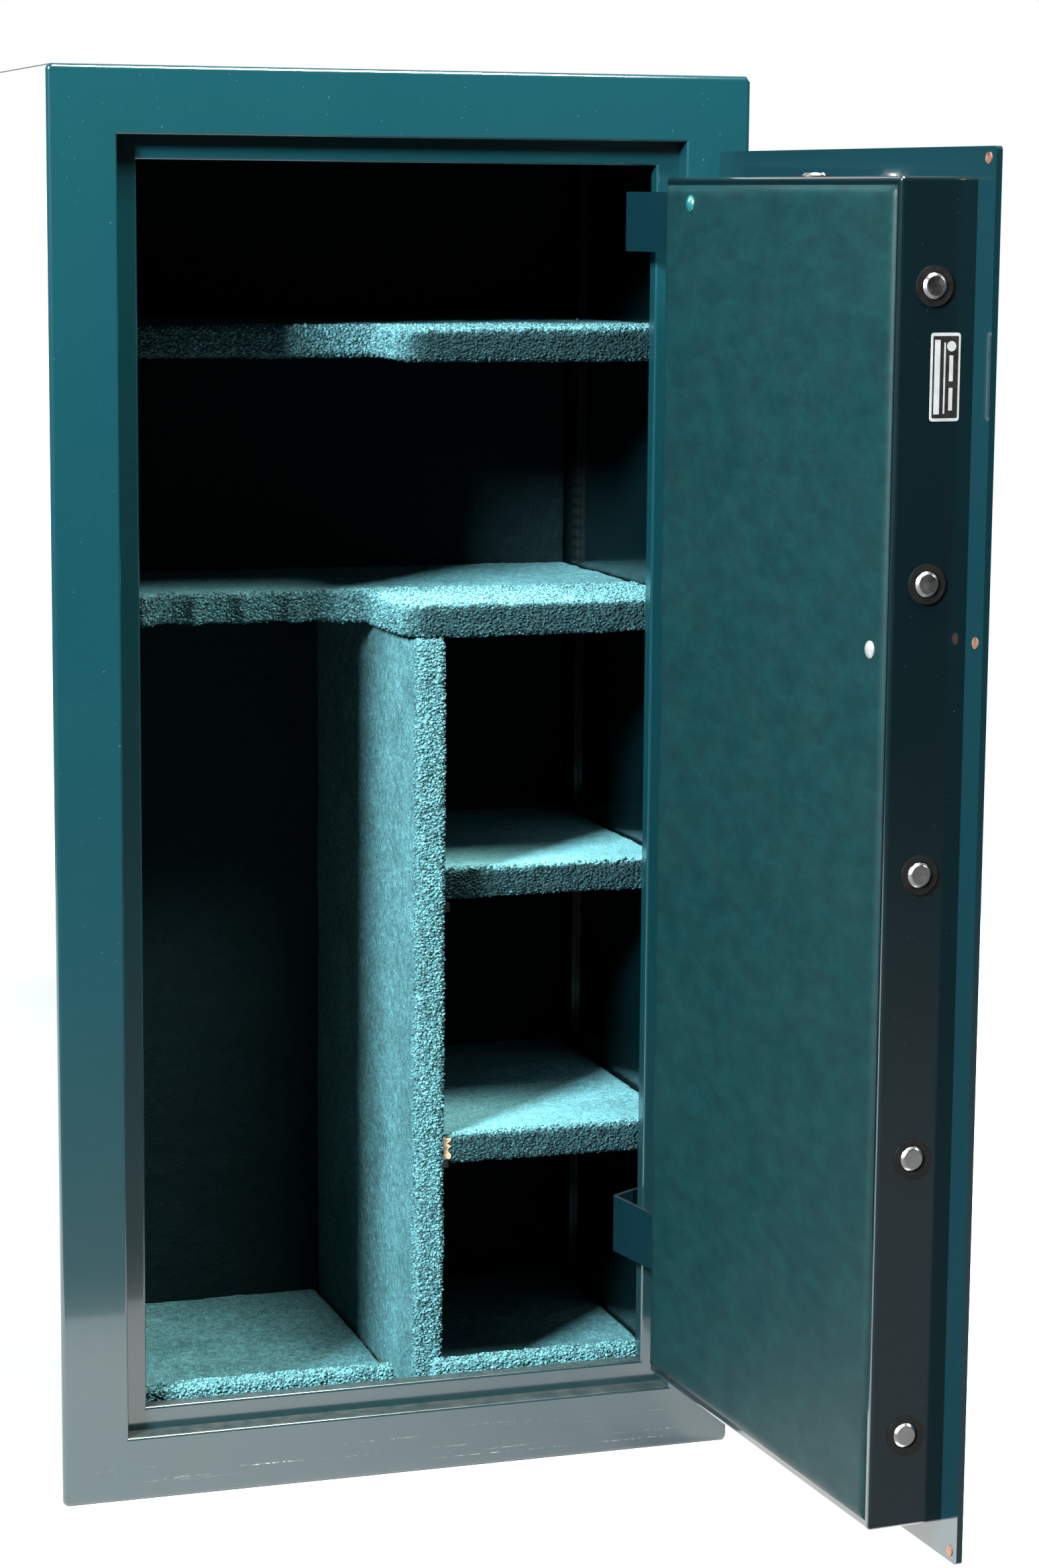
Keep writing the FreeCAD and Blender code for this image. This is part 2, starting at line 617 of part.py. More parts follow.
def make_hinges():
    """Gooseneck arms on the door, with the brackets and pins behind the stile."""
    pin_x, pin_y = x_at(SIZES["hinge_left"]), y_at(SIZES["hinge_front"])
    ears, pins, washers = [], [], []
    for name in ("upper", "lower"):
        up = f"{name}_arm_up"
        body = new_body(f"{name}_arm_body")
        sketch = sketch_in(body, f"{name}_arm_plan", "XY_Plane", up)
        route = [Vector(pin_x + along_x, pin_y + along_y, 0) for along_x, along_y in ARM_BENDS]
        sketch.addGeometry(bent_strip(route, ARM_BEND_RADIUS, SIZES["arm_thickness"]))
        extrude(body, sketch, f"{name}_arm_pad", "arm_height")
        knuckle = rod(f"{name}_knuckle", "z", "hinge_left", "hinge_front", up,
                      "knuckle_radius", "arm_height")
        bore = rod(f"{name}_bore", "z", "hinge_left", "hinge_front", f"{up} - 1",
                   "pin_radius + 0.08", "arm_height + 2")
        drills = [rod(f"{name}_flange_hole_{step}", "x", "hinge_left - 84",
                      "hinge_front + 47", f"{up} + arm_height * {share}", "4", "12")
                  for step, share in enumerate(ARM_BOLT_SHARES)]
        arm = fuse(f"{name}_arm_joined", [body, knuckle])
        swing(cut(f"{name}_arm_bored", arm, [bore] + drills), f"hinge_arm_{name}")
        for place, bottom in (("over", f"{up} + arm_height + 1.5"), ("under", f"{up} - 7.5")):
            ear = block(f"{name}_ear_{place}", "stile + body_width - 2 * stile + steel",
                        "body_width - steel", "steel + 0.1", "hinge_front + 13",
                        bottom, f"{bottom} + 6")
            hole = rod(f"{name}_ear_hole_{place}", "z", "hinge_left", "hinge_front",
                       f"{bottom} - 1", "pin_radius", "8")
            ears.append(cut(f"{name}_ear_{place}_drilled", ear, [hole]))
        for place, bottom in (("over", f"{up} + arm_height + 0.15"), ("under", f"{up} - 1.35")):
            ring = rod(f"{name}_ring_{place}", "z", "hinge_left", "hinge_front", bottom,
                       "knuckle_radius", "1.2")
            hole = rod(f"{name}_ring_hole_{place}", "z", "hinge_left", "hinge_front",
                       f"{bottom} - 1", "pin_radius + 0.1", "4")
            washers.append(cut(f"{name}_washer_{place}", ring, [hole]))
        shank = rod(f"{name}_pin_shank", "z", "hinge_left", "hinge_front", f"{up} - 10",
                    "pin_radius", "arm_height + 17.5")
        head = rod(f"{name}_pin_head", "z", "hinge_left", "hinge_front",
                   f"{up} + arm_height + 7.5", "pin_radius + 3", "4")
        pins.append(fuse(f"{name}_pin", [shank, head]))
    keep(group("ears", ears), "hinge_brackets")
    keep(group("pins", pins), "hinge_pins")
    keep(group("washers", washers), "thrust_washers")


# ---------------------------------------------------------------- door
PLATE_LEFT = "stile + plate_gap_side"
PLATE_RIGHT = "body_width - stile - plate_gap_side"
PLATE_BOTTOM = "rail + plate_gap_end"
PLATE_TOP = "body_height - rail - plate_gap_end"
BOLT_BACK = "plate_back + door_depth - bolt_inset"
BOX_BACK = "plate_back + door_depth - panel"


def bolt_heights():
    """Expressions for the heights of the side bolts."""
    middle = (SIDE_BOLTS - 1) / 2
    return [f"middle_bolt_up + {number - middle} * bolt_pitch" for number in range(SIDE_BOLTS)]


def make_door():
    """Plate, box, fire lining, inner panel and the small parts fixed to them."""
    plate = block("plate_raw", PLATE_LEFT, PLATE_RIGHT, "plate_back - plate", "plate_back",
                  PLATE_BOTTOM, PLATE_TOP)
    plate = rounded("plate_round", plate, 4.0, lambda edge: along(edge, Vector(0, 1, 0)))
    swing(cut("plate_drilled", plate, [
        rod("plate_shaft_hole", "y", "shaft_left", "0", "shaft_up", "shaft_radius + 0.1", "40"),
        rod("plate_spindle_hole", "y", "shaft_left", "0", "lock_up", "4.6", "40"),
    ]), "door_plate")

    box = block("box_raw", "box_left", "box_right", "plate_back", BOX_BACK,
                "box_bottom", "box_top")
    depth_edge = y_at(SIZES["plate_back"] + SIZES["door_depth"] - SIZES["panel"]) - 0.01
    box = rounded("box_round", box, 4.0, lambda edge: along(edge, Vector(0, 1, 0))
                  or edge.BoundBox.YMin > depth_edge)
    hollow = block("box_hollow", "box_left + box_steel", "box_right - box_steel",
                   "plate_back - 1", f"{BOX_BACK} - box_steel",
                   "box_bottom + box_steel", "box_top - box_steel")
    holes = [rod(f"box_bolt_hole_{number}", "x", "box_left - 2", BOLT_BACK, up,
                 "bolt_radius + 0.6", "12") for number, up in enumerate(bolt_heights())]
    for name, left, up in (("top", "shaft_left", "box_top - 8"),
                           ("bottom", "bottom_bolt_left", "box_bottom - 4")):
        holes.append(rod(f"box_{name}_hole", "z", left, BOLT_BACK, up,
                         "bolt_radius + 0.6", "12"))
    holes += [rod(f"box_arm_hole_{arm}_{step}", "x", "box_right - 6", "hinge_front + 47",
                  f"{arm}_arm_up + arm_height * {share}", "4", "12")
              for arm in ("upper", "lower") for step, share in enumerate(ARM_BOLT_SHARES)]
    swing(cut("box_pan", box, [hollow] + holes), "door_box")

    swing(block("door_board", "box_left + box_steel + gap", "box_right - box_steel - gap",
                f"{BOX_BACK} - box_steel - fireboard", f"{BOX_BACK} - box_steel - gap",
                "box_bottom + box_steel + gap", "box_top - box_steel - gap"), "door_fireboard")
    panel_body = block("panel_raw", "panel_left", "panel_right", BOX_BACK,
                       "plate_back + door_depth", "panel_bottom", "panel_top")
    swing(rounded("panel_round", panel_body, 3.0,
                  lambda edge: along(edge, Vector(0, 1, 0))), "door_inner_panel")
    for label, left, up in (("panel_button_green", "panel_right - 67.5", "1389"),
                            ("panel_button_white", "panel_right - 491", "975")):
        dome = [(0, 0), (0, 8.6), (1.2, 8.6), (2.4, 7.4), (3.6, 5.0), (4.4, 2.4), (4.6, 0)]
        swing(revolve(label + "_dome", dome, "y", left, "plate_back + door_depth", up), label)

    stops = [rod(f"stop_{number}", "y", f"{PLATE_LEFT} + 14", "plate_back", up, "5.5", "0.8")
             for number, up in enumerate((f"{PLATE_BOTTOM} + 11", "984", f"{PLATE_TOP} - 11"))]
    swing(group("stops", stops), "plate_stop_buttons")
    swing(block("label_plate", "box_left - 0.6", "box_left", f"{BOLT_BACK} - 29",
                f"{BOLT_BACK} + 2", "1191", "1273"), "rating_label")
    dead_bar = block("dead_bar_raw", "box_right", "box_right + 28", f"{BOLT_BACK} - 3",
                     f"{BOLT_BACK} + 3", "330", "1300")
    swing(dead_bar, "hinge_side_dead_bar")

    guide = block("guide_web", "box_left + 36", "box_left + 40", "plate_back",
                  f"{BOLT_BACK} + 17", "180", "1344")
    foot = block("guide_foot", "box_left + 36", "box_left + 58", "plate_back",
                 "plate_back + 4", "180", "1344")
    guide_holes = [rod(f"guide_hole_{number}", "x", "box_left + 30", BOLT_BACK, up,
                       "bolt_radius + 0.4", "16") for number, up in enumerate(bolt_heights())]
    swing(cut("guide_bar", fuse("guide_angle", [guide, foot]), guide_holes), "bolt_guide_bar")
    make_bezels()
    make_arm_bolts()
    make_lock()


def ring_solid(name, axis, left, front, up, outer, inner, length):
    """A washer-like ring."""
    disc = rod(name + "_disc", axis, left, front, up, outer, length)
    shift = {"x": (f"{left} - 1", front, up), "y": (left, f"{front} - 1", up),
             "z": (left, front, f"{up} - 1")}[axis]
    hole = rod(name + "_hole", axis, *shift, inner, f"{length} + 2")
    return cut(name, disc, [hole])


def make_bezels():
    """Dark collars round each bolt where it leaves the box."""
    bezels = [ring_solid(f"bezel_{number}", "x", "box_left - 1.6", BOLT_BACK, up,
                         "bezel_radius", "bolt_radius + 0.4", "1.6")
              for number, up in enumerate(bolt_heights())]
    bezels.append(ring_solid("bezel_top", "z", "shaft_left", BOLT_BACK, "box_top",
                             "bezel_radius", "bolt_radius + 0.4", "1.6"))
    bezels.append(ring_solid("bezel_bottom", "z", "bottom_bolt_left", BOLT_BACK,
                             "box_bottom - 1.6", "bezel_radius", "bolt_radius + 0.4", "1.6"))
    swing(group("bezels", bezels), "bolt_bezels")


def hexagon(name, axis_left, front, up, across_flats, length):
    """A hexagonal head whose axis runs along +X."""
    head = doc.addObject("Part::Prism", name)
    head.Polygon = 6
    head.Placement = Placement(Vector(), TURNS["x"])
    bind(head, Circumradius=f"({across_flats}) / 1.7321", Height=length,
         Placement__Base__x=across(axis_left), Placement__Base__y=back(front),
         Placement__Base__z=up)
    return head


def make_arm_bolts():
    """Hexagon bolts through each arm's flange into the side of the box."""
    bolts = []
    for name in ("upper", "lower"):
        for step, share in enumerate(ARM_BOLT_SHARES):
            up = f"{name}_arm_up + arm_height * {share}"
            head = hexagon(f"{name}_bolt_head_{step}", "hinge_left - 75.5", "hinge_front + 47",
                           up, "13", "5.3")
            shank = rod(f"{name}_bolt_shank_{step}", "x", "hinge_left - 90",
                        "hinge_front + 47", up, "3.95", "14.6")
            bolts.append(fuse(f"{name}_bolt_{step}", [head, shank]))
    swing(group("arm_bolts_all", bolts), "arm_bolts")


def make_lock():
    """Lock case on its hardplate, dial ring and handle escutcheon."""
    hard = block("hard_raw", "shaft_left - 45", "shaft_left + 45", "plate_back + 0.01",
                 "plate_back + 4.7", "lock_up - 46", "lock_up + 60")
    swing(cut("hard_drilled", hard, [rod("hard_hole", "y", "shaft_left", "plate_back - 2",
                                         "lock_up", "4.6", "12")]), "hardplate")
    case = block("case_raw", "shaft_left - 30", "shaft_left + 30", "plate_back + 4.7",
                 "plate_back + 34", "lock_up - 42", "lock_up + 44")
    case = rounded("case_round", case, 5.0, lambda edge: along(edge, Vector(0, 1, 0)))
    cavity = rod("case_cavity", "y", "shaft_left", "plate_back + 8", "lock_up",
                 "27", "22")
    entry = rod("case_entry", "y", "shaft_left", "plate_back + 3", "lock_up", "4.6", "8")
    channel = block("case_channel", "shaft_left - 6.4", "shaft_left + 6.4",
                    "plate_back + 24", "plate_back + 33.2", "lock_up - 50", "lock_up - 20")
    swing(cut("case_hollow", case, [cavity, entry, channel]), "lock_case")
    swing(ring_solid("dial_ring_raw", "y", "shaft_left", "plate_back - plate - 7", "lock_up",
                     "50", "12", "7"), "dial_ring")
    swing(ring_solid("escutcheon_raw", "y", "shaft_left", "plate_back - plate - 6",
                     "shaft_up", "38", "shaft_radius + 0.3", "6"), "handle_escutcheon")


# ---------------------------------------------------------------- bolt work
def make_bolt(name, axis, left, front, up):
    """A round locking bolt, chamfered at its outer end, from that end inward."""
    size = SIZES
    radius, chamfer = size["bolt_radius"], size["bolt_chamfer"]
    profile = [(0, 0), (0, radius - chamfer), (chamfer, radius),
               (size["bolt_length"], radius), (size["bolt_length"], 0)]
    return revolve(name, profile, axis, left, front, up)


def make_bolt_work():
    """Side bolts on their carriage, and the top and bottom bolts on their rods."""
    side = [make_bolt(f"side_bolt_{number}", "x", "box_left - bolt_proud", BOLT_BACK, up)
            for number, up in enumerate(bolt_heights())]
    swing(group("side_bolts_all", side), "side_bolts")

    bar_left = "box_left - bolt_proud + bolt_length"
    plate_near, plate_far = "plate_back + 30", "plate_back + 34"
    pin_x = "shaft_left + crank_radius * sin(crank_start * 1 deg)"
    bar = block("carriage_bar", bar_left, f"{bar_left} + 6", plate_near, f"{BOLT_BACK} + 15",
                "190", "1334")
    arm = block("carriage_arm", bar_left, f"{pin_x} + 13", plate_near, plate_far,
                "shaft_up + 30", "shaft_up + 50")
    tab = block("carriage_tab", f"{pin_x} - 12", f"{pin_x} + 13", plate_near, plate_far,
                "shaft_up + 13", "shaft_up + 32")
    catch = block("carriage_catch", "shaft_left + 18.6", "shaft_left + 30.6", plate_near,
                  plate_far, "shaft_up + 45", "lock_up - 52.6")
    slot = block("carriage_slot", f"{pin_x} - 6.2", f"{pin_x} + 6.2", "plate_back + 20",
                 "plate_back + 40", "shaft_up + 17.5", "shaft_up + 38")
    swing(cut("carriage", fuse("carriage_solid", [bar, arm, tab, catch]), [slot]),
          "bolt_carriage")

    layers = {"top": ("plate_back + 36", "plate_back + 40"),
              "bottom": ("plate_back + 42", "plate_back + 46")}
    half_travel = "crank_radius * sin(crank_start * 1 deg)"
    near_pin = "crank_radius * cos(crank_start * 1 deg)"
    bolt_low = "box_top + bolt_proud - bolt_length"
    bolt_high = "box_bottom - bolt_proud + bolt_length"
    for name, way, start, end in (("top", 1, "", bolt_low), ("bottom", -1, bolt_high, "")):
        near, far = layers[name]
        pin_up = f"shaft_up - {way} * {half_travel}"
        foot_low, foot_high = f"{pin_up} - 11", f"{pin_up} + 11"
        inner, outer = f"({near_pin} - 6)", "(crank_radius + 6)"
        if name == "top":
            line = "shaft_left"
            foot_sides = ("shaft_left - 12.5", "shaft_left + crank_radius + 14")
            slot_sides = (f"shaft_left + {inner}", f"shaft_left + {outer}")
            rod_span = (foot_low, end)
        else:
            line = "bottom_bolt_left"
            foot_sides = ("shaft_left - crank_radius - 14", "bottom_bolt_left + 12.5")
            slot_sides = (f"shaft_left - {outer}", f"shaft_left - {inner}")
            rod_span = (start, foot_high)
        foot = block(f"{name}_foot", *foot_sides, near, far, foot_low, foot_high)
        strip = block(f"{name}_strip", f"{line} - 12.5", f"{line} + 12.5", near, far, *rod_span)
        slot = block(f"{name}_slot", *slot_sides, f"{near} - 2", f"{far} + 2",
                     f"{pin_up} - 6.2", f"{pin_up} + 6.2")
        swing(cut(f"{name}_rod_slotted", fuse(f"{name}_rod_solid", [foot, strip]), [slot]),
              f"{name}_bolt_rod")
    swing(make_bolt("top_bolt_turned", "-z", "shaft_left", BOLT_BACK,
                    "box_top + bolt_proud"), "top_bolt")
    swing(make_bolt("bottom_bolt_turned", "z", "bottom_bolt_left", BOLT_BACK,
                    "box_bottom - bolt_proud"), "bottom_bolt")
    make_handle()
    make_dial()


def make_handle():
    """Spoked handle on its shaft, and the drive cam with three crank pins."""
    swing(rod("handle_shaft_raw", "y", "shaft_left", "plate_back - plate - 40", "shaft_up",
              "shaft_radius", "plate + 74"), "handle_shaft")
    cam = ring_solid("cam_disc", "y", "shaft_left", "plate_back + 22", "shaft_up",
                     "crank_radius + 12", "shaft_radius", "6")
    pins = []
    for name, angle, length in (("side", "(90 - crank_start)", "7"),
                                ("top", "(-crank_start)", "13"),
                                ("bottom", "(180 - crank_start)", "19")):
        pins.append(rod(f"crank_pin_{name}", "y",
                        f"shaft_left + crank_radius * cos({angle} * 1 deg)",
                        "plate_back + 27.9",
                        f"shaft_up + crank_radius * sin({angle} * 1 deg)",
                        "crank_pin", f"{length} + 0.1"))
    swing(fuse("cam_with_pins", [cam] + pins), "drive_cam")

    hub_front = "plate_back - plate - 52"
    profile = [(0, 0), (0, 16), (4, 24), (14, 28), (30, 28), (40, 20), (45, 20), (45, 8.01),
               (12, 8.01), (12, 0)]
    hub = revolve("hub_turned", profile, "y", "shaft_left", hub_front, "shaft_up")
    sockets = []
    spokes = []
    for number in range(HANDLE_SPOKES):
        angle = 90 + number * 360 / HANDLE_SPOKES
        tilt = Rotation(Vector(0, -1, 0), angle).multiply(TURNS["x"])
        start = Vector(math.cos(math.radians(angle)), 0, math.sin(math.radians(angle)))
        for kind, begin, radius, length, store in (("socket", 18, 6.01, 20, sockets),
                                                   ("spoke", 18, 6.0, 92, spokes)):
            item = doc.addObject("Part::Cylinder", f"{kind}_{number}")
            item.Radius = radius
            item.Height = length
            item.Placement = Placement(Vector(), tilt)
            bind(item, Placement__Base__x=f"{across('shaft_left')} + {start.x * begin}",
                 Placement__Base__y=back(hub_front + " + 22"),
                 Placement__Base__z=f"shaft_up + {start.z * begin}")
            store.append(item)
        knob = doc.addObject("Part::Sphere", f"knob_{number}")
        knob.Radius = 11.0
        bind(knob, Placement__Base__x=f"{across('shaft_left')} + {start.x * 112}",
             Placement__Base__y=back(hub_front + " + 22"),
             Placement__Base__z=f"shaft_up + {start.z * 112}")
        spokes[-1] = fuse(f"spoke_with_knob_{number}", [spokes[-1], knob])
    swing(cut("hub_bored", hub, sockets), "handle_hub")
    swing(group("spokes_all", spokes), "handle_spokes")


def make_dial():
    """Numbered dial, its spindle, the wheel pack it turns and the lock bolt."""
    front = "plate_back - plate - 34"
    disc = rod("dial_disc", "y", "shaft_left", "plate_back - plate - 14", "lock_up", "39", "6")
    knob = rod("dial_knob", "y", "shaft_left", front, "lock_up", "22", "20.1")
    grips = []
    for number in range(12):
        angle = number * 30
        grips.append(rod(f"dial_grip_{number}", "y", f"shaft_left + 23.5 * cos({angle} * 1 deg)",
                         f"{front} - 1", f"lock_up + 23.5 * sin({angle} * 1 deg)", "3", "17"))
    swing(cut("dial_fluted", fuse("dial_solid", [disc, knob]), grips), "dial")
    swing(rod("spindle_raw", "y", "shaft_left", "plate_back - plate - 8", "lock_up", "4",
              "plate + 8 + 26"), "dial_spindle")
    wheels = [ring_solid(f"wheel_{number}", "y", "shaft_left",
                         f"plate_back + 9 + {number * 3.6}", "lock_up", "24", "4.02", "2.4")
              for number in range(4)]
    swing(group("wheels", wheels), "lock_wheels")
    swing(block("lock_bolt_raw", "shaft_left - 6", "shaft_left + 6", "plate_back + 24.4",
                "plate_back + 32.8", "lock_up - 42", "lock_up - 24"), "lock_bolt")


# ---------------------------------------------------------------- build and export
make_cabinet()
make_interior()
make_hinges()
make_door()
make_bolt_work()
doc.recompute()

for item in doc.Objects:
    if "Invalid" in item.State or "Error" in item.State:
        raise RuntimeError(f"{item.Name} failed: {item.State}")

os.makedirs("parts", exist_ok=True)
for item in nodes:
    shape = item.Shape
    if shape.isNull() or not shape.isValid() or not shape.Solids:
        raise RuntimeError(f"{item.Label} has no valid solid")
    shape.exportStep(f"parts/{item.Label}.step")
print(len(nodes), "sub-parts written")
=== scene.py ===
"""Looks of the gun safe: studio, materials and the soft pieces."""
import json
import math

import bmesh
import bpy
import numpy as np
from mathutils import Matrix, Vector


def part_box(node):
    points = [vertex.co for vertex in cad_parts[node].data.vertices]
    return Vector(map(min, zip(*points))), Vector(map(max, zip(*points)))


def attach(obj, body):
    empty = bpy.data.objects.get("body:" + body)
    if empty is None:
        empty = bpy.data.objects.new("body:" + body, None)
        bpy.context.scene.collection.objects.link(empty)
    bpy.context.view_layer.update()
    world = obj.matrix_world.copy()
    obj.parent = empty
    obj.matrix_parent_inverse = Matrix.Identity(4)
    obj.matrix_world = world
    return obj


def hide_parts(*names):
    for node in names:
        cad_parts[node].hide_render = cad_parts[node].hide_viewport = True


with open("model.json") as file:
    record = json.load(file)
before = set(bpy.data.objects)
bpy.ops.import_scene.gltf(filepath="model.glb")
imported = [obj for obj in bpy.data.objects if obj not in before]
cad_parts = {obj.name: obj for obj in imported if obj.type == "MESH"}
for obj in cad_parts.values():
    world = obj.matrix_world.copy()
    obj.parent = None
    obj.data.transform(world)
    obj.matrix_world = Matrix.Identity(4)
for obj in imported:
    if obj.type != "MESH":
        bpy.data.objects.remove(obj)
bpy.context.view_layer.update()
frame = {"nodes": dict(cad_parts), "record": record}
nodes = frame["nodes"]

# Lengths are in metres. The door is modelled open by this much about its hinge pins.
OPEN = math.radians(94.0)
HINGE = Vector((0.3395, -0.271, 0.0))
DOOR_TURN = (Matrix.Translation(HINGE) @ Matrix.Rotation(OPEN, 4, "Z")
             @ Matrix.Translation(-HINGE))

HALF_WIDTH = 0.381          # of the cabinet
BOX_EDGE = 0.114 - HALF_WIDTH       # the door box's free side, with the door shut
BOLT_LINE = -0.225          # the bolts' depth, with the door shut


# ---------------------------------------------------------------- node helpers
class Shader:
    """A Principled material and short ways to add nodes to it."""

    def __init__(self, name, color, rough, **sockets):
        self.material = bpy.data.materials.new(name)
        self.material.use_nodes = True
        self.tree = self.material.node_tree
        self.bsdf = next(n for n in self.tree.nodes if n.type == "BSDF_PRINCIPLED")
        self.bsdf.inputs["Base Color"].default_value = (*color, 1)
        self.bsdf.inputs["Roughness"].default_value = rough
        for socket, value in sockets.items():
            self.bsdf.inputs[socket.replace("_", " ")].default_value = value
        self.coords = self.tree.nodes.new("ShaderNodeTexCoord").outputs["Object"]

    def link(self, out, into):
        self.tree.links.new(out, into)
        return out

    def feed(self, socket, value):
        if isinstance(value, bpy.types.NodeSocket):
            self.link(value, socket)
        else:
            socket.default_value = value

    def stretch(self, x, y, z, turn=0.0):
        """Object coordinates scaled along each axis, turned about Z first."""
        node = self.tree.nodes.new("ShaderNodeMapping")
        node.inputs["Scale"].default_value = (x, y, z)
        if turn:
            first = self.tree.nodes.new("ShaderNodeMapping")
            first.inputs["Rotation"].default_value = (0, 0, turn)
            self.link(self.coords, first.inputs["Vector"])
            self.link(first.outputs["Vector"], node.inputs["Vector"])
        else:
            self.link(self.coords, node.inputs["Vector"])
        return node.outputs["Vector"]

    def noise(self, scale, detail=3.0, rough=0.5, vector=None, distortion=0.0):
        node = self.tree.nodes.new("ShaderNodeTexNoise")
        node.inputs["Scale"].default_value = scale
        node.inputs["Detail"].default_value = detail
        node.inputs["Roughness"].default_value = rough
        node.inputs["Distortion"].default_value = distortion
        self.link(vector or self.coords, node.inputs["Vector"])
        return node.outputs["Fac"]

    def cells(self, scale):
        node = self.tree.nodes.new("ShaderNodeTexVoronoi")
        node.inputs["Scale"].default_value = scale
        self.link(self.coords, node.inputs["Vector"])
        return node.outputs["Distance"]

    def remap(self, value, low, high, to_low=0.0, to_high=1.0):
        node = self.tree.nodes.new("ShaderNodeMapRange")
        self.link(value, node.inputs["Value"])
        for socket, number in zip(("From Min", "From Max", "To Min", "To Max"),
                                  (low, high, to_low, to_high)):
            node.inputs[socket].default_value = number
        return node.outputs["Result"]

    def math(self, kind, a, b):
        node = self.tree.nodes.new("ShaderNodeMath")
        node.operation = kind
        self.feed(node.inputs[0], a)
        self.feed(node.inputs[1], b)
        return node.outputs["Value"]

    def mix(self, factor, a, b):
        """A colour from a to b. Sockets 6 and 7 of a Mix node are its colour inputs."""
        node = self.tree.nodes.new("ShaderNodeMix")
        node.data_type = "RGBA"
        self.feed(node.inputs["Factor"], factor)
        for socket, value in ((node.inputs[6], a), (node.inputs[7], b)):
            linked = isinstance(value, bpy.types.NodeSocket)
            self.feed(socket, value if linked else (*value, 1))
        return node.outputs[2]

    def axis(self, name):
        """One object coordinate as a value, in metres."""
        node = self.tree.nodes.new("ShaderNodeSeparateXYZ")
        self.link(self.coords, node.inputs["Vector"])
        return node.outputs[name]

    def facing(self, name):
        """One component of the surface normal."""
        geometry = self.tree.nodes.new("ShaderNodeNewGeometry")
        node = self.tree.nodes.new("ShaderNodeSeparateXYZ")
        self.link(geometry.outputs["Normal"], node.inputs["Vector"])
        return node.outputs[name]

    def tint(self):
        """The value stored on each point of a carpet."""
        node = self.tree.nodes.new("ShaderNodeAttribute")
        node.attribute_name = "tint"
        return node.outputs["Fac"]

    def color(self, value):
        self.link(value, self.bsdf.inputs["Base Color"])

    def rough(self, value):
        self.link(value, self.bsdf.inputs["Roughness"])

    def bump(self, height, strength, distance):
        node = self.tree.nodes.new("ShaderNodeBump")
        node.inputs["Strength"].default_value = strength
        node.inputs["Distance"].default_value = distance
        self.link(height, node.inputs["Height"])
        last = self.bsdf.inputs["Normal"]
        if last.is_linked:
            self.link(last.links[0].from_socket, node.inputs["Normal"])
        self.link(node.outputs["Normal"], last)


DUST = (0.060, 0.056, 0.046)
SPECK = (0.10, 0.14, 0.14)
# Painted reflection of the floor, mixed with grime: a grey laid over the enamel low on the
# cabinet, between the heights below.
GRIME_AND_FLOOR_GLARE = (0.012, 0.015, 0.013)
GRIME_GLARE_STARTS, GRIME_GLARE_FULL = 0.60, 0.18         # heights
SCRAPED = (0.24, 0.24, 0.22)
FRONT_PLANE = -0.290
SLOT_PITCH = 0.0127


def enamel(name, color, dusty=0.55, rough=0.16, grime_and_glare=0.0):
    """Glossy baked enamel with faint mottling, specks and dust on what faces up.

    Low on the cabinet the enamel is painted greyer: part grime, part painted reflection of the
    floor.
    """
    s = Shader(name, color, rough, Coat_Weight=0.6, Coat_Roughness=0.05, Coat_IOR=1.5)
    deep = tuple(c * 0.9 for c in color)
    base = s.mix(s.remap(s.noise(2.2, 4), 0.35, 0.7), deep, color)
    specks = s.remap(s.noise(420, 2, 0.7), 0.745, 0.77)
    base = s.mix(s.math("MULTIPLY", specks, 0.5), base, SPECK)
    settled = s.math("MULTIPLY", s.remap(s.facing("Z"), 0.55, 0.95),
                     s.remap(s.noise(55, 6, 0.7), 0.32, 0.72, 0.25 * dusty, dusty))
    settled = s.math("MULTIPLY", settled, s.remap(s.axis("Z"), 0.35, 0.15, 0.12, 1.0))
    base = s.mix(settled, base, DUST)
    # Painted reflection of the floor, with grime: the enamel turns greyer towards the bottom.
    if grime_and_glare:
        low = s.math("MULTIPLY", s.remap(s.axis("Z"), GRIME_GLARE_STARTS, GRIME_GLARE_FULL, 0.0, grime_and_glare),
                     s.remap(s.noise(5, 5, 0.6), 0.25, 0.7, 0.65, 1.0))
        base = s.mix(low, base, GRIME_AND_FLOOR_GLARE)
    s.color(base)
    s.rough(s.math("ADD", s.remap(s.noise(9, 5, 0.6), 0.3, 0.7, rough - 0.01, rough + 0.03),
                   s.math("MULTIPLY", settled, 0.6)))
    s.bump(s.noise(190, 2), 0.02, 0.0004)
    return s


def cabinet_enamel():
    """Enamel of the cabinet, scraped through along its lower rail."""
    s = enamel("cabinet_enamel", (0.0016, 0.0170, 0.0215), grime_and_glare=0.36)
    color = s.bsdf.inputs["Base Color"].links[0].from_socket
    lines = s.stretch(3.0, 3.0, 260.0)
    streaks = s.remap(s.noise(1.0, 6, 0.62, lines, 0.4), 0.60, 0.66)
    broken = s.remap(s.noise(130, 3, 0.7), 0.47, 0.6)
    band = s.math("MULTIPLY", s.remap(s.axis("Z"), 0.050, 0.040),
                  s.remap(s.axis("Z"), 0.008, 0.014))
    front = s.remap(s.axis("Y"), FRONT_PLANE + 0.003, FRONT_PLANE)
    mask = s.math("MULTIPLY", s.math("MULTIPLY", streaks, broken),
                  s.math("MULTIPLY", band, front))
    mask = s.math("MULTIPLY", mask, s.remap(s.noise(1.7, 2), 0.42, 0.52))
    s.color(s.mix(mask, color, SCRAPED))
    return s.material


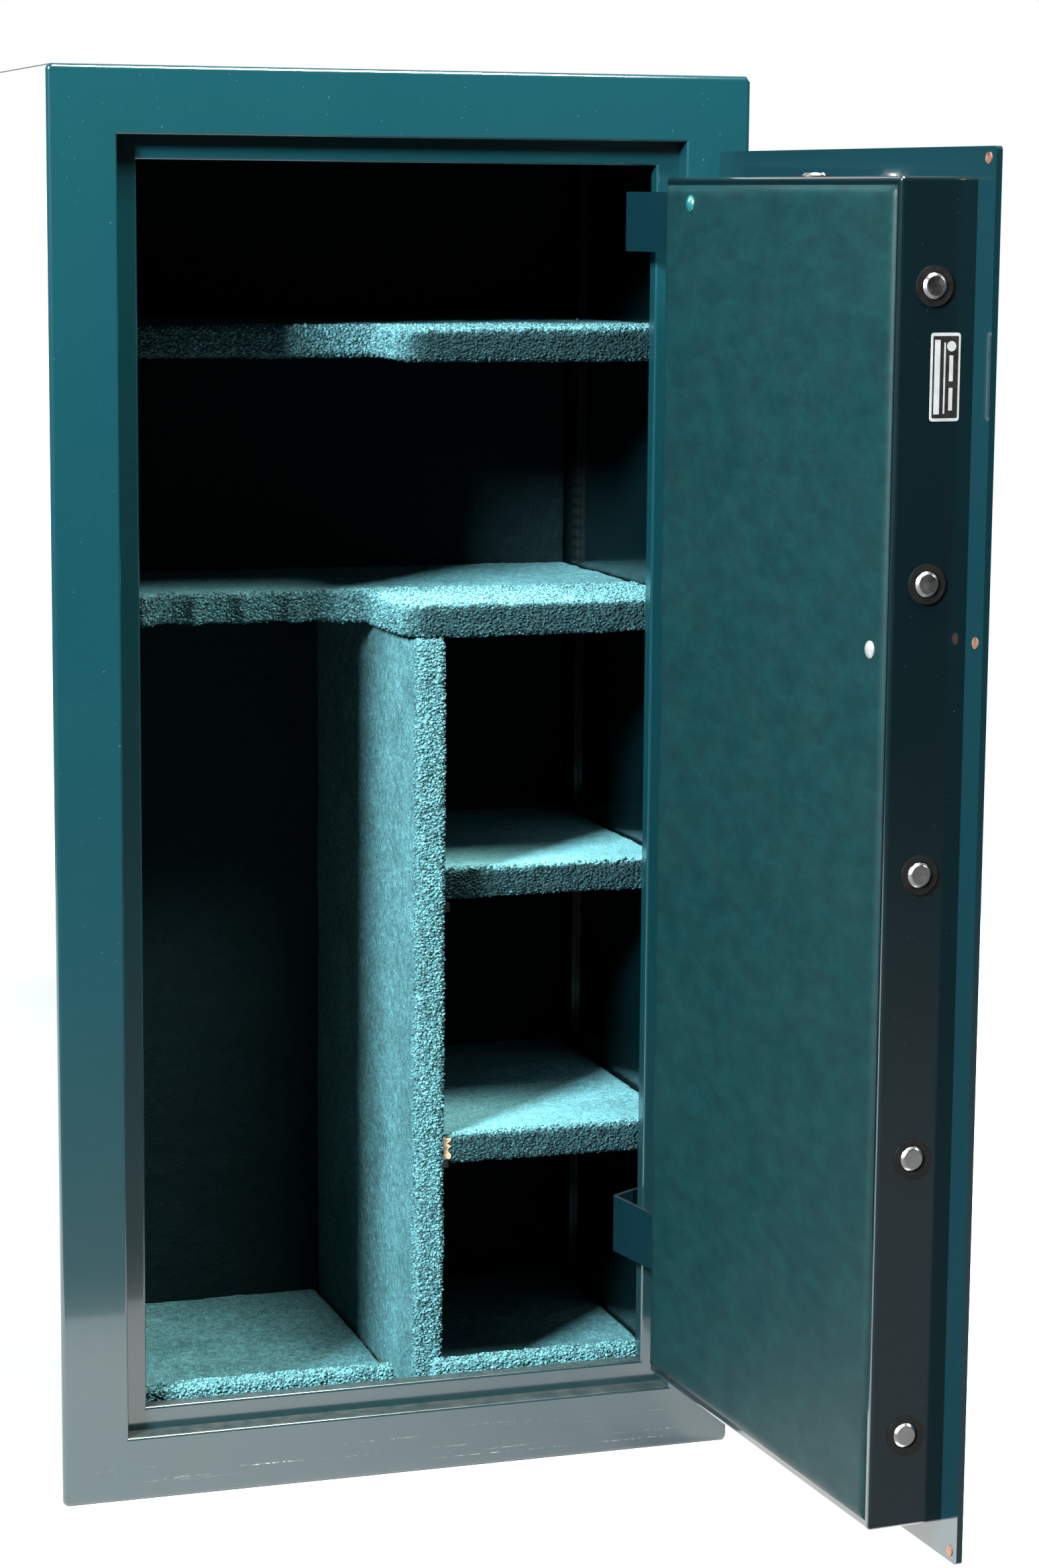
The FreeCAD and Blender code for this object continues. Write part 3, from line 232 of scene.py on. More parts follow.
def plain_metal(name, color, rough, brushed=True):
    """Bare or plated metal with fine lines and smudges."""
    s = Shader(name, color, rough, Metallic=1.0)
    s.color(s.mix(s.remap(s.noise(24, 5), 0.3, 0.75), tuple(c * 0.72 for c in color), color))
    s.rough(s.remap(s.noise(70, 5, 0.6), 0.3, 0.7, rough * 0.7, rough * 1.5))
    if brushed:
        s.bump(s.noise(40, 4, 0.6, s.stretch(4, 4, 60)), 0.12, 0.0004)
    return s.material


def moulded(name, color, rough=0.35):
    """Moulded or painted plastic with a fine texture."""
    s = Shader(name, color, rough, Coat_Weight=0.15)
    s.color(s.mix(s.remap(s.noise(60, 4), 0.3, 0.7), tuple(c * 0.8 for c in color), color))
    s.rough(s.remap(s.noise(120, 3), 0.3, 0.7, rough * 0.8, rough * 1.3))
    s.bump(s.noise(900, 2), 0.1, 0.0002)
    return s.material


def carpet_fibre(name, dark, light, fine=520.0, rough=0.75):
    """Cut pile: bright tips over deep gaps, with a soft sheen."""
    s = Shader(name, light, rough, Sheen_Weight=0.03, Sheen_Roughness=0.4,
               Specular_IOR_Level=0.06)
    s.bsdf.inputs["Sheen Tint"].default_value = (0.30, 0.85, 0.92, 1)
    tips = s.remap(s.noise(fine, 4, 0.75), 0.40, 0.60)
    clumps = s.remap(s.noise(210, 3, 0.6), 0.36, 0.64, 0.68, 1.24)
    # The tint read here carries painted light and shade by facing, besides random variation.
    depth = s.math("MULTIPLY", s.math("MULTIPLY", s.tint(), clumps),
                   s.remap(tips, 0.0, 1.0, 0.42, 1.32))
    patches = s.remap(s.noise(9, 4, 0.6), 0.35, 0.7, 1.06, 0.86)
    s.color(s.mix(s.math("MULTIPLY", depth, patches), dark, light))
    s.bump(s.noise(fine * 0.8, 3, 0.7), 0.9, 0.0014)
    s.bump(s.cells(fine * 0.75), 0.5, 0.0010)
    return s.material


def vinyl():
    """Satin leathercloth with cloudy mottling and a fine pebble grain."""
    s = Shader("leathercloth", (0.003, 0.022, 0.024), 0.5, Specular_IOR_Level=0.12)
    cloud = s.remap(s.noise(48, 6, 0.66, s.stretch(0.45, 0.45, 1.0), 0.2), 0.37, 0.64)
    base = s.mix(cloud, (0.0006, 0.0082, 0.0096), (0.0009, 0.0131, 0.0138))
    fine = s.remap(s.noise(150, 5, 0.7), 0.38, 0.66, 0.0, 0.55)
    s.color(s.mix(fine, base, (0.0007, 0.0084, 0.0096)))
    s.rough(s.remap(s.noise(14, 5, 0.6), 0.3, 0.7, 0.46, 0.56))
    s.bump(s.cells(900), 0.25, 0.0003)
    s.bump(s.noise(260, 4, 0.6), 0.18, 0.0004)
    return s.material


def raw_wood():
    """Bare plywood with its plies showing."""
    s = Shader("raw_plywood", (0.25, 0.17, 0.10), 0.7)
    plies = s.remap(s.noise(1.0, 3, 0.5, s.stretch(6, 6, 420)), 0.4, 0.6)
    s.color(s.mix(plies, (0.17, 0.11, 0.065), (0.29, 0.21, 0.13)))
    s.bump(s.noise(240, 3), 0.3, 0.0004)
    return s.material


def gypsum():
    """Chalky fire board."""
    s = Shader("fire_board", (0.28, 0.23, 0.20), 0.9)
    s.color(s.mix(s.noise(40, 5), (0.24, 0.20, 0.175), (0.32, 0.27, 0.24)))
    s.bump(s.noise(300, 4), 0.3, 0.0005)
    return s.material


def slotted_rail():
    """Dark rail with a row of slots that are not cut: each is painted near black, as painted
    shade.
    """
    s = enamel("rail_enamel", (0.0010, 0.0045, 0.0055), dusty=0.2, rough=0.35)
    color = s.bsdf.inputs["Base Color"].links[0].from_socket
    step = s.math("FRACT", s.math("MULTIPLY", s.axis("Z"), 1 / SLOT_PITCH), 0.0)
    painted_slot_shade = s.math("MULTIPLY", s.remap(step, 0.30, 0.34), s.remap(step, 0.70, 0.66))
    s.color(s.mix(painted_slot_shade, color, (0.0002, 0.0002, 0.0002)))
    return s.material


TRIM = (0.0010, 0.0044, 0.0056)
MATERIALS = {
    "cabinet_enamel": cabinet_enamel(),
    "inner_enamel": enamel("inner_enamel", (0.0005, 0.0032, 0.0040), rough=0.14).material,
    "trim_enamel": enamel("trim_enamel", TRIM, rough=0.14).material,
    "gypsum_board": gypsum(),
    "plywood": raw_wood(),
    "teal_carpet": carpet_fibre("teal_carpet", (0.0010, 0.0062, 0.0075), (0.100, 0.273, 0.305)),
    "vinyl": vinyl(),
    "button_teal": moulded("button_teal", (0.003, 0.048, 0.050), 0.28),
    "button_white": moulded("button_white", (0.12, 0.125, 0.12), 0.3),
    "bolt_chrome": plain_metal("bolt_chrome", (0.80, 0.80, 0.78), 0.21, brushed=False),
    "black_plastic": moulded("black_plastic", (0.004, 0.004, 0.004), 0.3),
    "bare_steel": plain_metal("bare_steel", (0.45, 0.44, 0.42), 0.38),
    "copper_dot": plain_metal("copper_dot", (0.33, 0.17, 0.12), 0.5),
    "label_stock": moulded("label_stock", (0.20, 0.21, 0.21), 0.4),
    "label_field": moulded("label_field", (0.006, 0.005, 0.005), 0.35),
    "wheel_brass": plain_metal("wheel_brass", (0.62, 0.44, 0.16), 0.3),
    "dial_black": moulded("dial_black", (0.014, 0.014, 0.014), 0.25),
}
ARM_ENAMEL = enamel("arm_enamel", (0.0009, 0.0072, 0.0102)).material
NODE_MATERIALS = {          # nodes that look unlike the rest of their slot
    "shelf_standards": slotted_rail(),
    "door_plate": enamel("door_enamel", (0.0014, 0.011, 0.0145)).material,
    "hinge_arm_upper": ARM_ENAMEL,
    "hinge_arm_lower": ARM_ENAMEL,
    "shelf_clips": MATERIALS["black_plastic"],
}
slot_of = {part["node"]: part["material_slot"] for part in frame["record"]["subparts"]}
for name, obj in nodes.items():
    obj.data.materials.clear()
    obj.data.materials.append(NODE_MATERIALS.get(name, MATERIALS[slot_of[name]]))


def soften(name, width, segments=3):
    """Break the sharp edges of a sheet-metal node so that they catch the light."""
    bevel = nodes[name].modifiers.new("broken_edges", "BEVEL")
    bevel.width = width
    bevel.segments = segments
    bevel.limit_method = "ANGLE"
    bevel.angle_limit = math.radians(50)


for name, width in (("door_plate", 0.0012), ("hinge_arm_upper", 0.0010),
                    ("hinge_arm_lower", 0.0010), ("hinge_side_dead_bar", 0.0010)):
    soften(name, width)


# ---------------------------------------------------------------- carpets
def lattice_noise(points, size, seed=0):
    """Smooth random values from -1 to 1, with bumps about size apart."""
    scaled = points / size + seed * 17.31
    cell = np.floor(scaled).astype(np.int64)
    part = scaled - cell
    part = part * part * (3 - 2 * part)
    total = np.zeros(len(points))
    for corner in np.ndindex(2, 2, 2):
        at = cell + corner
        mixed = (at[:, 0] * 73856093) ^ (at[:, 1] * 19349663) ^ (at[:, 2] * 83492791)
        mixed = ((mixed & 0xFFFFFF) * 1103515245 + 12345) & 0x7FFFFFFF
        weight = np.prod(np.where(corner, part, 1 - part), axis=1)
        total += weight * (mixed / 0x3FFFFFFF - 1)
    return total


def new_object(name, mesh, material, body):
    """A new piece with one material, moving with a body."""
    obj = bpy.data.objects.new(name, mesh)
    bpy.context.scene.collection.objects.link(obj)
    mesh.materials.clear()
    mesh.materials.append(material)
    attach(obj, body)
    return obj


def finished_mesh(shape, name):
    """Turn a bmesh's faces outward and hand it over as a mesh."""
    bmesh.ops.recalc_face_normals(shape, faces=shape.faces)
    mesh = bpy.data.meshes.new(name)
    shape.to_mesh(mesh)
    shape.free()
    return mesh


def join_rings(shape, near, far):
    """Faces between two rings of points, all the way round."""
    made = []
    for place, corner in enumerate(near):
        following = (place + 1) % len(near)
        made.append(shape.faces.new([corner, near[following], far[following], far[place]]))
    return made


def slab(outlines):
    """Closed solids, each a flat outline (points, low, high), in one mesh."""
    shape = bmesh.new()
    for points, low, high in outlines:
        ring = [shape.verts.new((x, y, low)) for x, y in points]
        bottom = shape.faces.new(ring)
        lifted = bmesh.ops.extrude_face_region(shape, geom=[bottom])["geom"]
        up = [v for v in lifted if isinstance(v, bmesh.types.BMVert)]
        bmesh.ops.translate(shape, verts=up, vec=(0, 0, high - low))
    return finished_mesh(shape, "slab")


def remeshed(mesh, voxel, smoothing):
    """An even quad mesh of the same shape with its corners softened."""
    holder = bpy.data.objects.new("holder", mesh)
    bpy.context.scene.collection.objects.link(holder)
    remesh = holder.modifiers.new("even", "REMESH")
    remesh.mode = "VOXEL"
    remesh.voxel_size = voxel
    remesh.use_smooth_shade = True
    smooth = holder.modifiers.new("soft", "SMOOTH")
    smooth.factor = 0.5
    smooth.iterations = smoothing
    graph = bpy.context.evaluated_depsgraph_get()
    even = bpy.data.meshes.new_from_object(holder.evaluated_get(graph))
    bpy.data.objects.remove(holder)
    bpy.data.meshes.remove(mesh)
    return even


def arrays(mesh):
    """Points and their normals as arrays."""
    points = np.empty(len(mesh.vertices) * 3)
    mesh.vertices.foreach_get("co", points)
    normals = np.empty(len(mesh.vertices) * 3)
    mesh.vertex_normals.foreach_get("vector", normals)
    return points.reshape(-1, 3), normals.reshape(-1, 3)


def tuft_shape():
    """A small rounded clump, 1 unit in radius: its points and triangles."""
    shape = bmesh.new()
    bmesh.ops.create_icosphere(shape, subdivisions=1, radius=1.0)
    points = np.array([v.co[:] for v in shape.verts])
    faces = np.array([[v.index for v in f.verts] for f in shape.faces])
    shape.free()
    return points, faces


TUFT_POINTS, TUFT_FACES = tuft_shape()


SET_BACK = (-0.06, 0.1)     # depths between which a shelf's set-back front lies
# Painted light added to the set-back shelf fronts.
SET_BACK_PAINTED_LIGHT = 0.42


def tone_of(points, facing, nap_light_and_shade):
    """Painted lightness of the pile on what faces up, forward and sideways.

    The numbers were tuned until each face came out as light as it is in the photograph.
    They stand for the lie of the nap and also for shade that the lights don't make, so
    the fronts of the shelves are painted much darker than their tops.
    """
    up, forward, side = nap_light_and_shade
    weight = np.abs(facing) ** 2
    set_back = (points[:, 1] > SET_BACK[0]) & (points[:, 1] < SET_BACK[1])
    # The set-back fronts get painted light on top of their forward value.
    ahead = forward + SET_BACK_PAINTED_LIGHT * set_back
    # Undersides and rear faces are painted darker, as painted shade.
    return (weight[:, 2] * np.where(facing[:, 2] > 0, up, up * 0.2)
            + weight[:, 1] * np.where(facing[:, 1] < 0, ahead, forward * 0.5)
            + weight[:, 0] * side)


def store_tint(mesh, values):
    """Keep a carpet's lightness, painted light and shade included, on its points, where its
    material reads it.
    """
    attribute = mesh.attributes.new("tint", "FLOAT", "POINT")
    attribute.data.foreach_set("value", np.clip(values, 0.0, 1.5).astype(np.float32))


def face_arrays(mesh):
    """Centres, normals and areas of a mesh's faces."""
    count = len(mesh.polygons)
    centres, facing, areas = np.empty(count * 3), np.empty(count * 3), np.empty(count)
    mesh.polygons.foreach_get("center", centres)
    mesh.polygons.foreach_get("normal", facing)
    mesh.polygons.foreach_get("area", areas)
    return centres.reshape(-1, 3), facing.reshape(-1, 3), areas


TUFT_AREA = 16e-6           # square metres of face that one clump covers at a rate of 1


def scatter_tufts(mesh, tufted, seed, size, rate, nap_light_and_shade):
    """Clumps strewn over a carpet where it is tufted: their points and lightness."""
    random = np.random.default_rng(seed)
    centres, facing, areas = face_arrays(mesh)
    chance = tufted(centres, facing) * rate * areas / TUFT_AREA
    repeat = np.floor(chance + random.random(len(areas))).astype(int)
    centres, facing = np.repeat(centres, repeat, 0), np.repeat(facing, repeat, 0)
    number = len(centres)
    jitter = random.normal(0, 0.0014, (number, 3))
    jitter -= facing * (jitter * facing).sum(1)[:, None]
    size = size * random.uniform(0.65, 1.15, number)
    middle = centres + jitter + facing * (size * random.uniform(0.1, 0.6, number))[:, None]
    squeeze = random.uniform(0.75, 1.2, (number, 1, 3))
    squeeze[:, :, 0] *= 1.45
    lean = random.uniform(-0.45, 0.45, (number, 1))
    rough = 1 + random.uniform(-0.18, 0.18, (number, len(TUFT_POINTS), 1))
    grain = TUFT_POINTS[None] * size[:, None, None] * squeeze * rough
    grain[:, :, 2] += grain[:, :, 0] * lean
    tints = tone_of(centres, facing, nap_light_and_shade) * random.uniform(0.35, 1.9, number)
    return middle[:, None] + grain, tints


def carpet(name, outlines, node, tufted=None, seed=1, voxel=0.004, smoothing=5,
           tuft_size=0.0014, rate=2.7, pile=0.0008, nap_light_and_shade=(0.80, 0.060, 0.36)):
    """A carpet in place of its CAD solid: uneven pile, with clumps where it is tufted."""
    mesh = remeshed(slab(outlines), voxel, smoothing)
    points, normals = arrays(mesh)
    lift = (pile * lattice_noise(points, 0.0052, seed)
            + 0.0007 * lattice_noise(points, 0.018, seed + 1)
            + 0.0012 * lattice_noise(points, 0.09, seed + 2))
    points = points + normals * lift[:, None]
    mesh.vertices.foreach_set("co", points.ravel())
    # Painted light and shade by facing, times random variation in the pile.
    tint = tone_of(points, normals, nap_light_and_shade) * (1 + 0.30 * lattice_noise(points, 0.006, seed + 3)
                                     + 0.16 * lattice_noise(points, 0.045, seed + 4))
    if tufted is None:
        store_tint(mesh, tint)
        mesh.update()
    else:
        clumps, clump_tints = scatter_tufts(mesh, tufted, seed, tuft_size, rate, nap_light_and_shade)
        loops = np.empty(len(mesh.loops), int)
        mesh.loops.foreach_get("vertex_index", loops)
        faces = [loops[p.loop_start:p.loop_start + p.loop_total].tolist()
                 for p in mesh.polygons]
        each = len(TUFT_POINTS)
        start = len(points) + np.arange(len(clumps))[:, None, None] * each
        faces += (TUFT_FACES[None] + start).reshape(-1, 3).tolist()
        bpy.data.meshes.remove(mesh)
        mesh = bpy.data.meshes.new(name)
        mesh.from_pydata(np.vstack([points, clumps.reshape(-1, 3)]), [], faces)
        mesh.shade_smooth()
        store_tint(mesh, np.concatenate([tint, np.repeat(clump_tints, each)]))
    obj = new_object(name, mesh, MATERIALS["teal_carpet"], "cabinet")
    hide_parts(node)


def rectangle(low, high, shrink=0.0):
    """Outline of a box's plan, drawn in a little."""
    x0, y0, x1, y1 = low[0] + shrink, low[1] + shrink, high[0] - shrink, high[1] - shrink
    return [(x0, y0), (x1, y0), (x1, y1), (x0, y1)]


def front_tufts(limit):
    """Clumps on what faces forward or lies within 10 mm of a front edge."""
    def chance(points, facing):
        forward = np.clip((-facing[:, 1] - 0.25) * 2.5, 0, 1)
        return np.maximum(forward, 0.6 * (points[:, 1] < limit + 0.010))
    return chance


PILE = 0.0012               # the pile's tips reach this far beyond the drawn outline
STEP_X = 0.0270             # where a full-width shelf steps back
STEP_RADIUS = 0.030
NOTCHES, NOTCH_PITCH, NOTCH_RADIUS, NOTCH_DEPTH = 6, 0.0572, 0.026, 0.016


def stepped_plan(node, setback, notched):
    """Plan of a full-width shelf: deep at the right, set back at the left."""
    low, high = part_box(node)
    front, left, right, rear = low[1] + PILE, low[0], high[0], high[1]
    plan = [(right, rear), (left, rear), (left, setback + PILE)]
    if notched:
        bottom = setback + PILE - NOTCH_RADIUS + NOTCH_DEPTH
        sweep = math.acos(1 - NOTCH_DEPTH / NOTCH_RADIUS)
        for number in reversed(range(NOTCHES)):
            middle = STEP_X - 0.020 - NOTCH_PITCH * (number + 0.5)
            for part in range(9):
                angle = math.pi / 2 + sweep * (1 - part / 4)
                plan.append((middle + NOTCH_RADIUS * math.cos(angle),
                             bottom + NOTCH_RADIUS * math.sin(angle)))
    plan.append((STEP_X + PILE, setback + PILE))
    for part in range(7):
        angle = math.pi + math.pi / 2 * part / 6
        plan.append((STEP_X + PILE + STEP_RADIUS * (1 + math.cos(angle)),
                     front + STEP_RADIUS * (1 + math.sin(angle))))
    plan.append((right, front))
    return [(plan, low[2] + PILE, high[2] - PILE)]


# The three lightness numbers are for up, forward and side: painted light on the tops, painted
# shade on the fronts.
for node, setback, notched, seed, nap_light_and_shade in (
        ("top_shelf_carpet", -0.052, False, 11, (0.60, 0.034, 0.38)),
        ("rest_shelf_carpet", -0.007, True, 23, (0.72, 0.080, 0.40))):
    carpet(node.replace("carpet", "pile"), stepped_plan(node, setback, notched), node,
           tufted=front_tufts(setback), seed=seed, nap_light_and_shade=nap_light_and_shade)

for node, seed, nap_light_and_shade in (("upper_shelf_carpet", 31, (1.20, 0.062, 0.36)),
                         ("lower_shelf_carpet", 41, (0.84, 0.104, 0.36)),
                         ("divider_carpet", 51, (0.4, 0.46, 0.37))):
    low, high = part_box(node)
    plan = rectangle(low, high, PILE)
    carpet(node.replace("carpet", "pile"), [(plan, low[2] + PILE, high[2] - PILE)], node,
           tufted=front_tufts(low[1]), seed=seed, nap_light_and_shade=nap_light_and_shade)

WORN_WIDTH = 0.010
WORN_LOW, WORN_HIGH = -0.030, -0.006        # heights, from the shelf's top


def worn_corner():
    """Bare plywood where the carpet has worn off the lower shelf's front left corner."""
    low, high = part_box("lower_shelf_carpet")
    random = np.random.default_rng(7)
    heights = np.linspace(high[2] + WORN_LOW, high[2] + WORN_HIGH, 9)
    ragged = low[0] + WORN_WIDTH * random.uniform(0.45, 1.0, len(heights))
    outline = [(low[0] + 0.0003, heights[0])] + list(zip(ragged, heights))
    outline.append((low[0] + 0.0003, heights[-1]))
    shape = bmesh.new()
    front = [shape.verts.new((x, low[1] + 0.0001, z)) for x, z in outline]
    back = [shape.verts.new((x, low[1] + 0.006, z)) for x, z in outline]
    shape.faces.new(front)
    shape.faces.new(back)
    join_rings(shape, front, back)
    mesh = finished_mesh(shape, "worn_shelf_corner")
    new_object("worn_shelf_corner", mesh, MATERIALS["plywood"], "cabinet")


worn_corner()

FLOOR_PILE_TOP = 0.0453
LIP_DEPTH = 0.014           # of the curled-up front edge
LEFT_LIP_END, RIGHT_BAY_START = 0.003, 0.0798
LIP_TUFTS_ABOVE = 0.058

# The floor carpets also get painted light and shade by facing.
for node, seed in (("floor_carpet_left", 61), ("floor_carpet_right", 71)):
    low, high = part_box(node)
    left = node.endswith("left")
    lip_right = LEFT_LIP_END if left else high[0]
    lip = [(low[0], low[1]), (lip_right, low[1]), (lip_right, low[1] + LIP_DEPTH),
           (low[0], low[1] + LIP_DEPTH)]
    bay_left = low[0] if left else RIGHT_BAY_START
    strip = [(low[0], low[1] + 0.012), (high[0], low[1] + 0.012),
             (high[0], -0.1755), (low[0], -0.1755)]
    bay = [(bay_left, -0.178), (high[0], -0.178), (high[0], high[1]), (bay_left, high[1])]
    outlines = [(lip, low[2], high[2]), (strip, low[2], FLOOR_PILE_TOP),
                (bay, low[2], FLOOR_PILE_TOP)]
    carpet(node.replace("carpet", "pile"), outlines, node, seed=seed, nap_light_and_shade=(0.52, 0.60, 0.60),
           tufted=lambda points, facing: 0.8 * (points[:, 2] > LIP_TUFTS_ABOVE))

# The back wall's pile is painted dark on every face: painted shade.
low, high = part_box("back_carpet")
carpet("back_pile", [(rectangle(low, high), low[2], high[2])], "back_carpet", seed=81,
       voxel=0.005, nap_light_and_shade=(0.1, 0.02, 0.1))


# ---------------------------------------------------------------- door panel
def door_point(x, y, z):
    """A point drawn with the door shut, moved to where the open door has it."""
    return DOOR_TURN @ Vector((x, y, z))


def inner_panel():
    """Leathercloth-covered panel with soft rolled edges."""
    left, right, bottom, top = 0.1208 - HALF_WIDTH, 0.6384 - HALF_WIDTH, 0.123, 1.408
    rear, pitch, roll, crown = -0.188, 0.006, 0.005, 0.0030
    across = np.arange(left, right + 0.001, pitch)
    up = np.arange(bottom, top + 0.001, pitch)
    across[-1], up[-1] = right, top
    grid_x, grid_z = np.meshgrid(across, up)
    edge = np.minimum.reduce([grid_x - left, right - grid_x,
                              grid_z - bottom, top - grid_z]).ravel()
    flat = np.column_stack([grid_x.ravel(), np.zeros(grid_x.size), grid_z.ravel()])
    ripple = 0.00035 * lattice_noise(flat, 0.09, 5) + 0.00015 * lattice_noise(flat, 0.02, 6)
    rise = crown * np.sqrt(np.clip(1 - (1 - np.clip(edge / roll, 0, 1)) ** 2, 0, 1))
    y = rear + np.maximum(rise + ripple * (edge > 0.004), 0.0)
    shape = bmesh.new()
    verts = [shape.verts.new(door_point(px, py, pz))
             for px, py, pz in zip(flat[:, 0], y, flat[:, 2])]
    columns, rows = len(across), len(up)
    for row in range(rows - 1):
        for column in range(columns - 1):
            start = row * columns + column
            shape.faces.new([verts[start], verts[start + 1], verts[start + columns + 1],
                             verts[start + columns]])
    rim = [e for e in shape.edges if e.is_boundary]
    skirt = bmesh.ops.extrude_edge_only(shape, edges=rim)["geom"]
    inward = DOOR_TURN.to_3x3() @ Vector((0, -0.0008, 0))
    bmesh.ops.translate(shape, vec=inward,
                        verts=[v for v in skirt if isinstance(v, bmesh.types.BMVert)])
    bmesh.ops.holes_fill(shape, edges=[e for e in shape.edges if e.is_boundary])
    mesh = finished_mesh(shape, "inner_panel_cover")
    mesh.shade_smooth()
    obj = new_object("inner_panel_cover", mesh, MATERIALS["vinyl"], "door")
    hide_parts("door_inner_panel")


inner_panel()


def rounded_plan(x0, y0, x1, y1, radius, steps=5):
    """Outline of a rectangle with rounded corners."""
    points = []
    left, right, low, high = x0 + radius, x1 - radius, y0 + radius, y1 - radius
    for centre_x, centre_y, start in ((right, high, 0), (left, high, 1),
                                      (left, low, 2), (right, low, 3)):
        for step in range(steps + 1):
            angle = math.pi / 2 * (start + step / steps)
            points.append((centre_x + radius * math.cos(angle),
                           centre_y + radius * math.sin(angle)))
    return points


def rating_plate():
    """Pale label with a dark field, a disc and plain bars, on the edge of the door box."""
    y0, y1, z0, z1 = -0.254, -0.223, 1.191, 1.273
    middle = (z0 + z1) / 2
    plate, field, print_top = 0.00035, 0.00045, 0.00055     # each layer's height
    pale, dark = 0, 1                                       # material indices
    layers = [(rounded_plan(y0, z0, y1, z1, 0.0030), 0.0, plate, pale),
              (rounded_plan(y0 + 0.0022, z0 + 0.0030, y1 - 0.0022, z1 - 0.0030, 0.0012),
               plate, field, dark)]
    disc = [(y0 + 0.0095 + 0.0048 * math.cos(turn * math.pi / 12),
             z1 - 0.0125 + 0.0048 * math.sin(turn * math.pi / 12)) for turn in range(24)]
    printed = [
        rounded_plan(y1 - 0.0098, z0 + 0.0065, y1 - 0.0040, z1 - 0.0065, 0.0004),
        disc,
        rounded_plan(y0 + 0.0075, middle - 0.004, y0 + 0.0115, z1 - 0.021, 0.0003),
        rounded_plan(y0 + 0.0075, z0 + 0.010, y0 + 0.0115, middle - 0.010, 0.0003),
        rounded_plan(y0 + 0.0155, z0 + 0.007, y0 + 0.0172, z1 - 0.009, 0.0003)]
    layers += [(outline, field, print_top, pale) for outline in printed]
    shape = bmesh.new()
    indices = []
    for outline, start, end, index in layers:
        near = [shape.verts.new(door_point(BOX_EDGE - end, y, z)) for y, z in outline]
        far = [shape.verts.new(door_point(BOX_EDGE - start, y, z)) for y, z in outline]
        join_rings(shape, near, far)
        shape.faces.new(near)
        shape.faces.new(far)
        indices += [index] * (len(outline) + 2)
    mesh = finished_mesh(shape, "rating_plate")
    obj = new_object("rating_plate", mesh, MATERIALS["label_stock"], "door")
    mesh.materials.append(MATERIALS["label_field"])
    mesh.polygons.foreach_set("material_index", indices)
    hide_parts("rating_label")


rating_plate()


def turned_bolts():
    """The side bolts, turned on a lathe and broken at both edges of their chamfer."""
    start = BOX_EDGE - 0.004
    radius, chamfer, length, soft = 0.0127, 0.0030, 0.084, 0.0005
    middle_up, pitch, count, sides = 0.762, 0.277, 5, 64
    nose = radius - chamfer
    profile = [(0, nose - 1.4 * soft), (0, nose - soft), (0.3 * soft, nose - 0.2 * soft),
               (soft, nose + 0.8 * soft), (chamfer - soft, radius - 1.2 * soft),
               (chamfer - 0.1 * soft, radius - 0.3 * soft), (chamfer + 0.8 * soft, radius),
               (chamfer + 1.6 * soft, radius), (length, radius)]
    turns = [side * math.tau / sides for side in range(sides)]
    shape = bmesh.new()
    for number in range(count):
        up = middle_up + pitch * (number - count // 2)
        rings = [[shape.verts.new(door_point(start + along, BOLT_LINE + out * math.cos(turn),
                                             up + out * math.sin(turn))) for turn in turns]
                 for along, out in profile]
        for near, far in zip(rings, rings[1:]):
            for face in join_rings(shape, near, far):
                face.smooth = True
        shape.faces.new(rings[0])
        shape.faces.new(rings[-1])
    mesh = finished_mesh(shape, "turned_side_bolts")
    obj = new_object("turned_side_bolts", mesh, MATERIALS["bolt_chrome"],
                     "bolt_carriage")
    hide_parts("side_bolts")


turned_bolts()


def dial_marks():
    """A hundred ticks and the numbers 0 to 90 on the dial's face."""
    centre = Vector((0.3674 - HALF_WIDTH, 0.024 - 0.00635 - 0.014 - 0.292, 0.950))
    proud, rim, number_radius, number_size = -0.00015, 0.0382, 0.0290, 0.0060
    points, faces = [], []
    for tick in range(100):
        turn = Matrix.Rotation(tick * math.tau / 100, 3, "Y")
        inner, half = (0.0335, 0.00035) if tick % 10 == 0 else (0.0352, 0.00020)
        if tick % 5 == 0:
            inner -= 0.0006
        start = len(points)
        for x, z in ((-half, inner), (half, inner), (half, rim), (-half, rim)):
            points.append(turn @ Vector((x, proud, z)))
        faces.append([start, start + 1, start + 2, start + 3])
    for number in range(0, 100, 10):
        text = bpy.data.curves.new("dial_number", "FONT")
        text.body = str(number)
        text.size = number_size
        text.align_x, text.align_y = "CENTER", "CENTER"
        text.resolution_u = 3
        holder = bpy.data.objects.new("dial_number", text)
        bpy.context.scene.collection.objects.link(holder)
        graph = bpy.context.evaluated_depsgraph_get()
        shape = bpy.data.meshes.new_from_object(holder.evaluated_get(graph))
        turn = Matrix.Rotation(number * math.tau / 100, 3, "Y")
        start = len(points)
        points += [turn @ Vector((v.co.x, proud, v.co.y + number_radius))
                   for v in shape.vertices]
        faces += [[start + index for index in face.vertices] for face in shape.polygons]
        bpy.data.objects.remove(holder)
        bpy.data.meshes.remove(shape)
    mesh = bpy.data.meshes.new("dial_marks")
    mesh.from_pydata([door_point(*(centre + point)) for point in points], [], faces)
    new_object("dial_marks", mesh, MATERIALS["label_stock"], "dial")


dial_marks()


# ---------------------------------------------------------------- studio
def area_light(name, place, target, size, power, color):
    """A rectangular light at a place, pointing at a target."""
    data = bpy.data.lights.new(name, "AREA")
    data.shape = "RECTANGLE"
    data.size, data.size_y = size
    data.energy = power
    data.color = color
    obj = bpy.data.objects.new(name, data)
    obj.location = place
    obj.rotation_euler = (Vector(target) - Vector(place)).to_track_quat("-Z", "Y").to_euler()
    bpy.context.scene.collection.objects.link(obj)


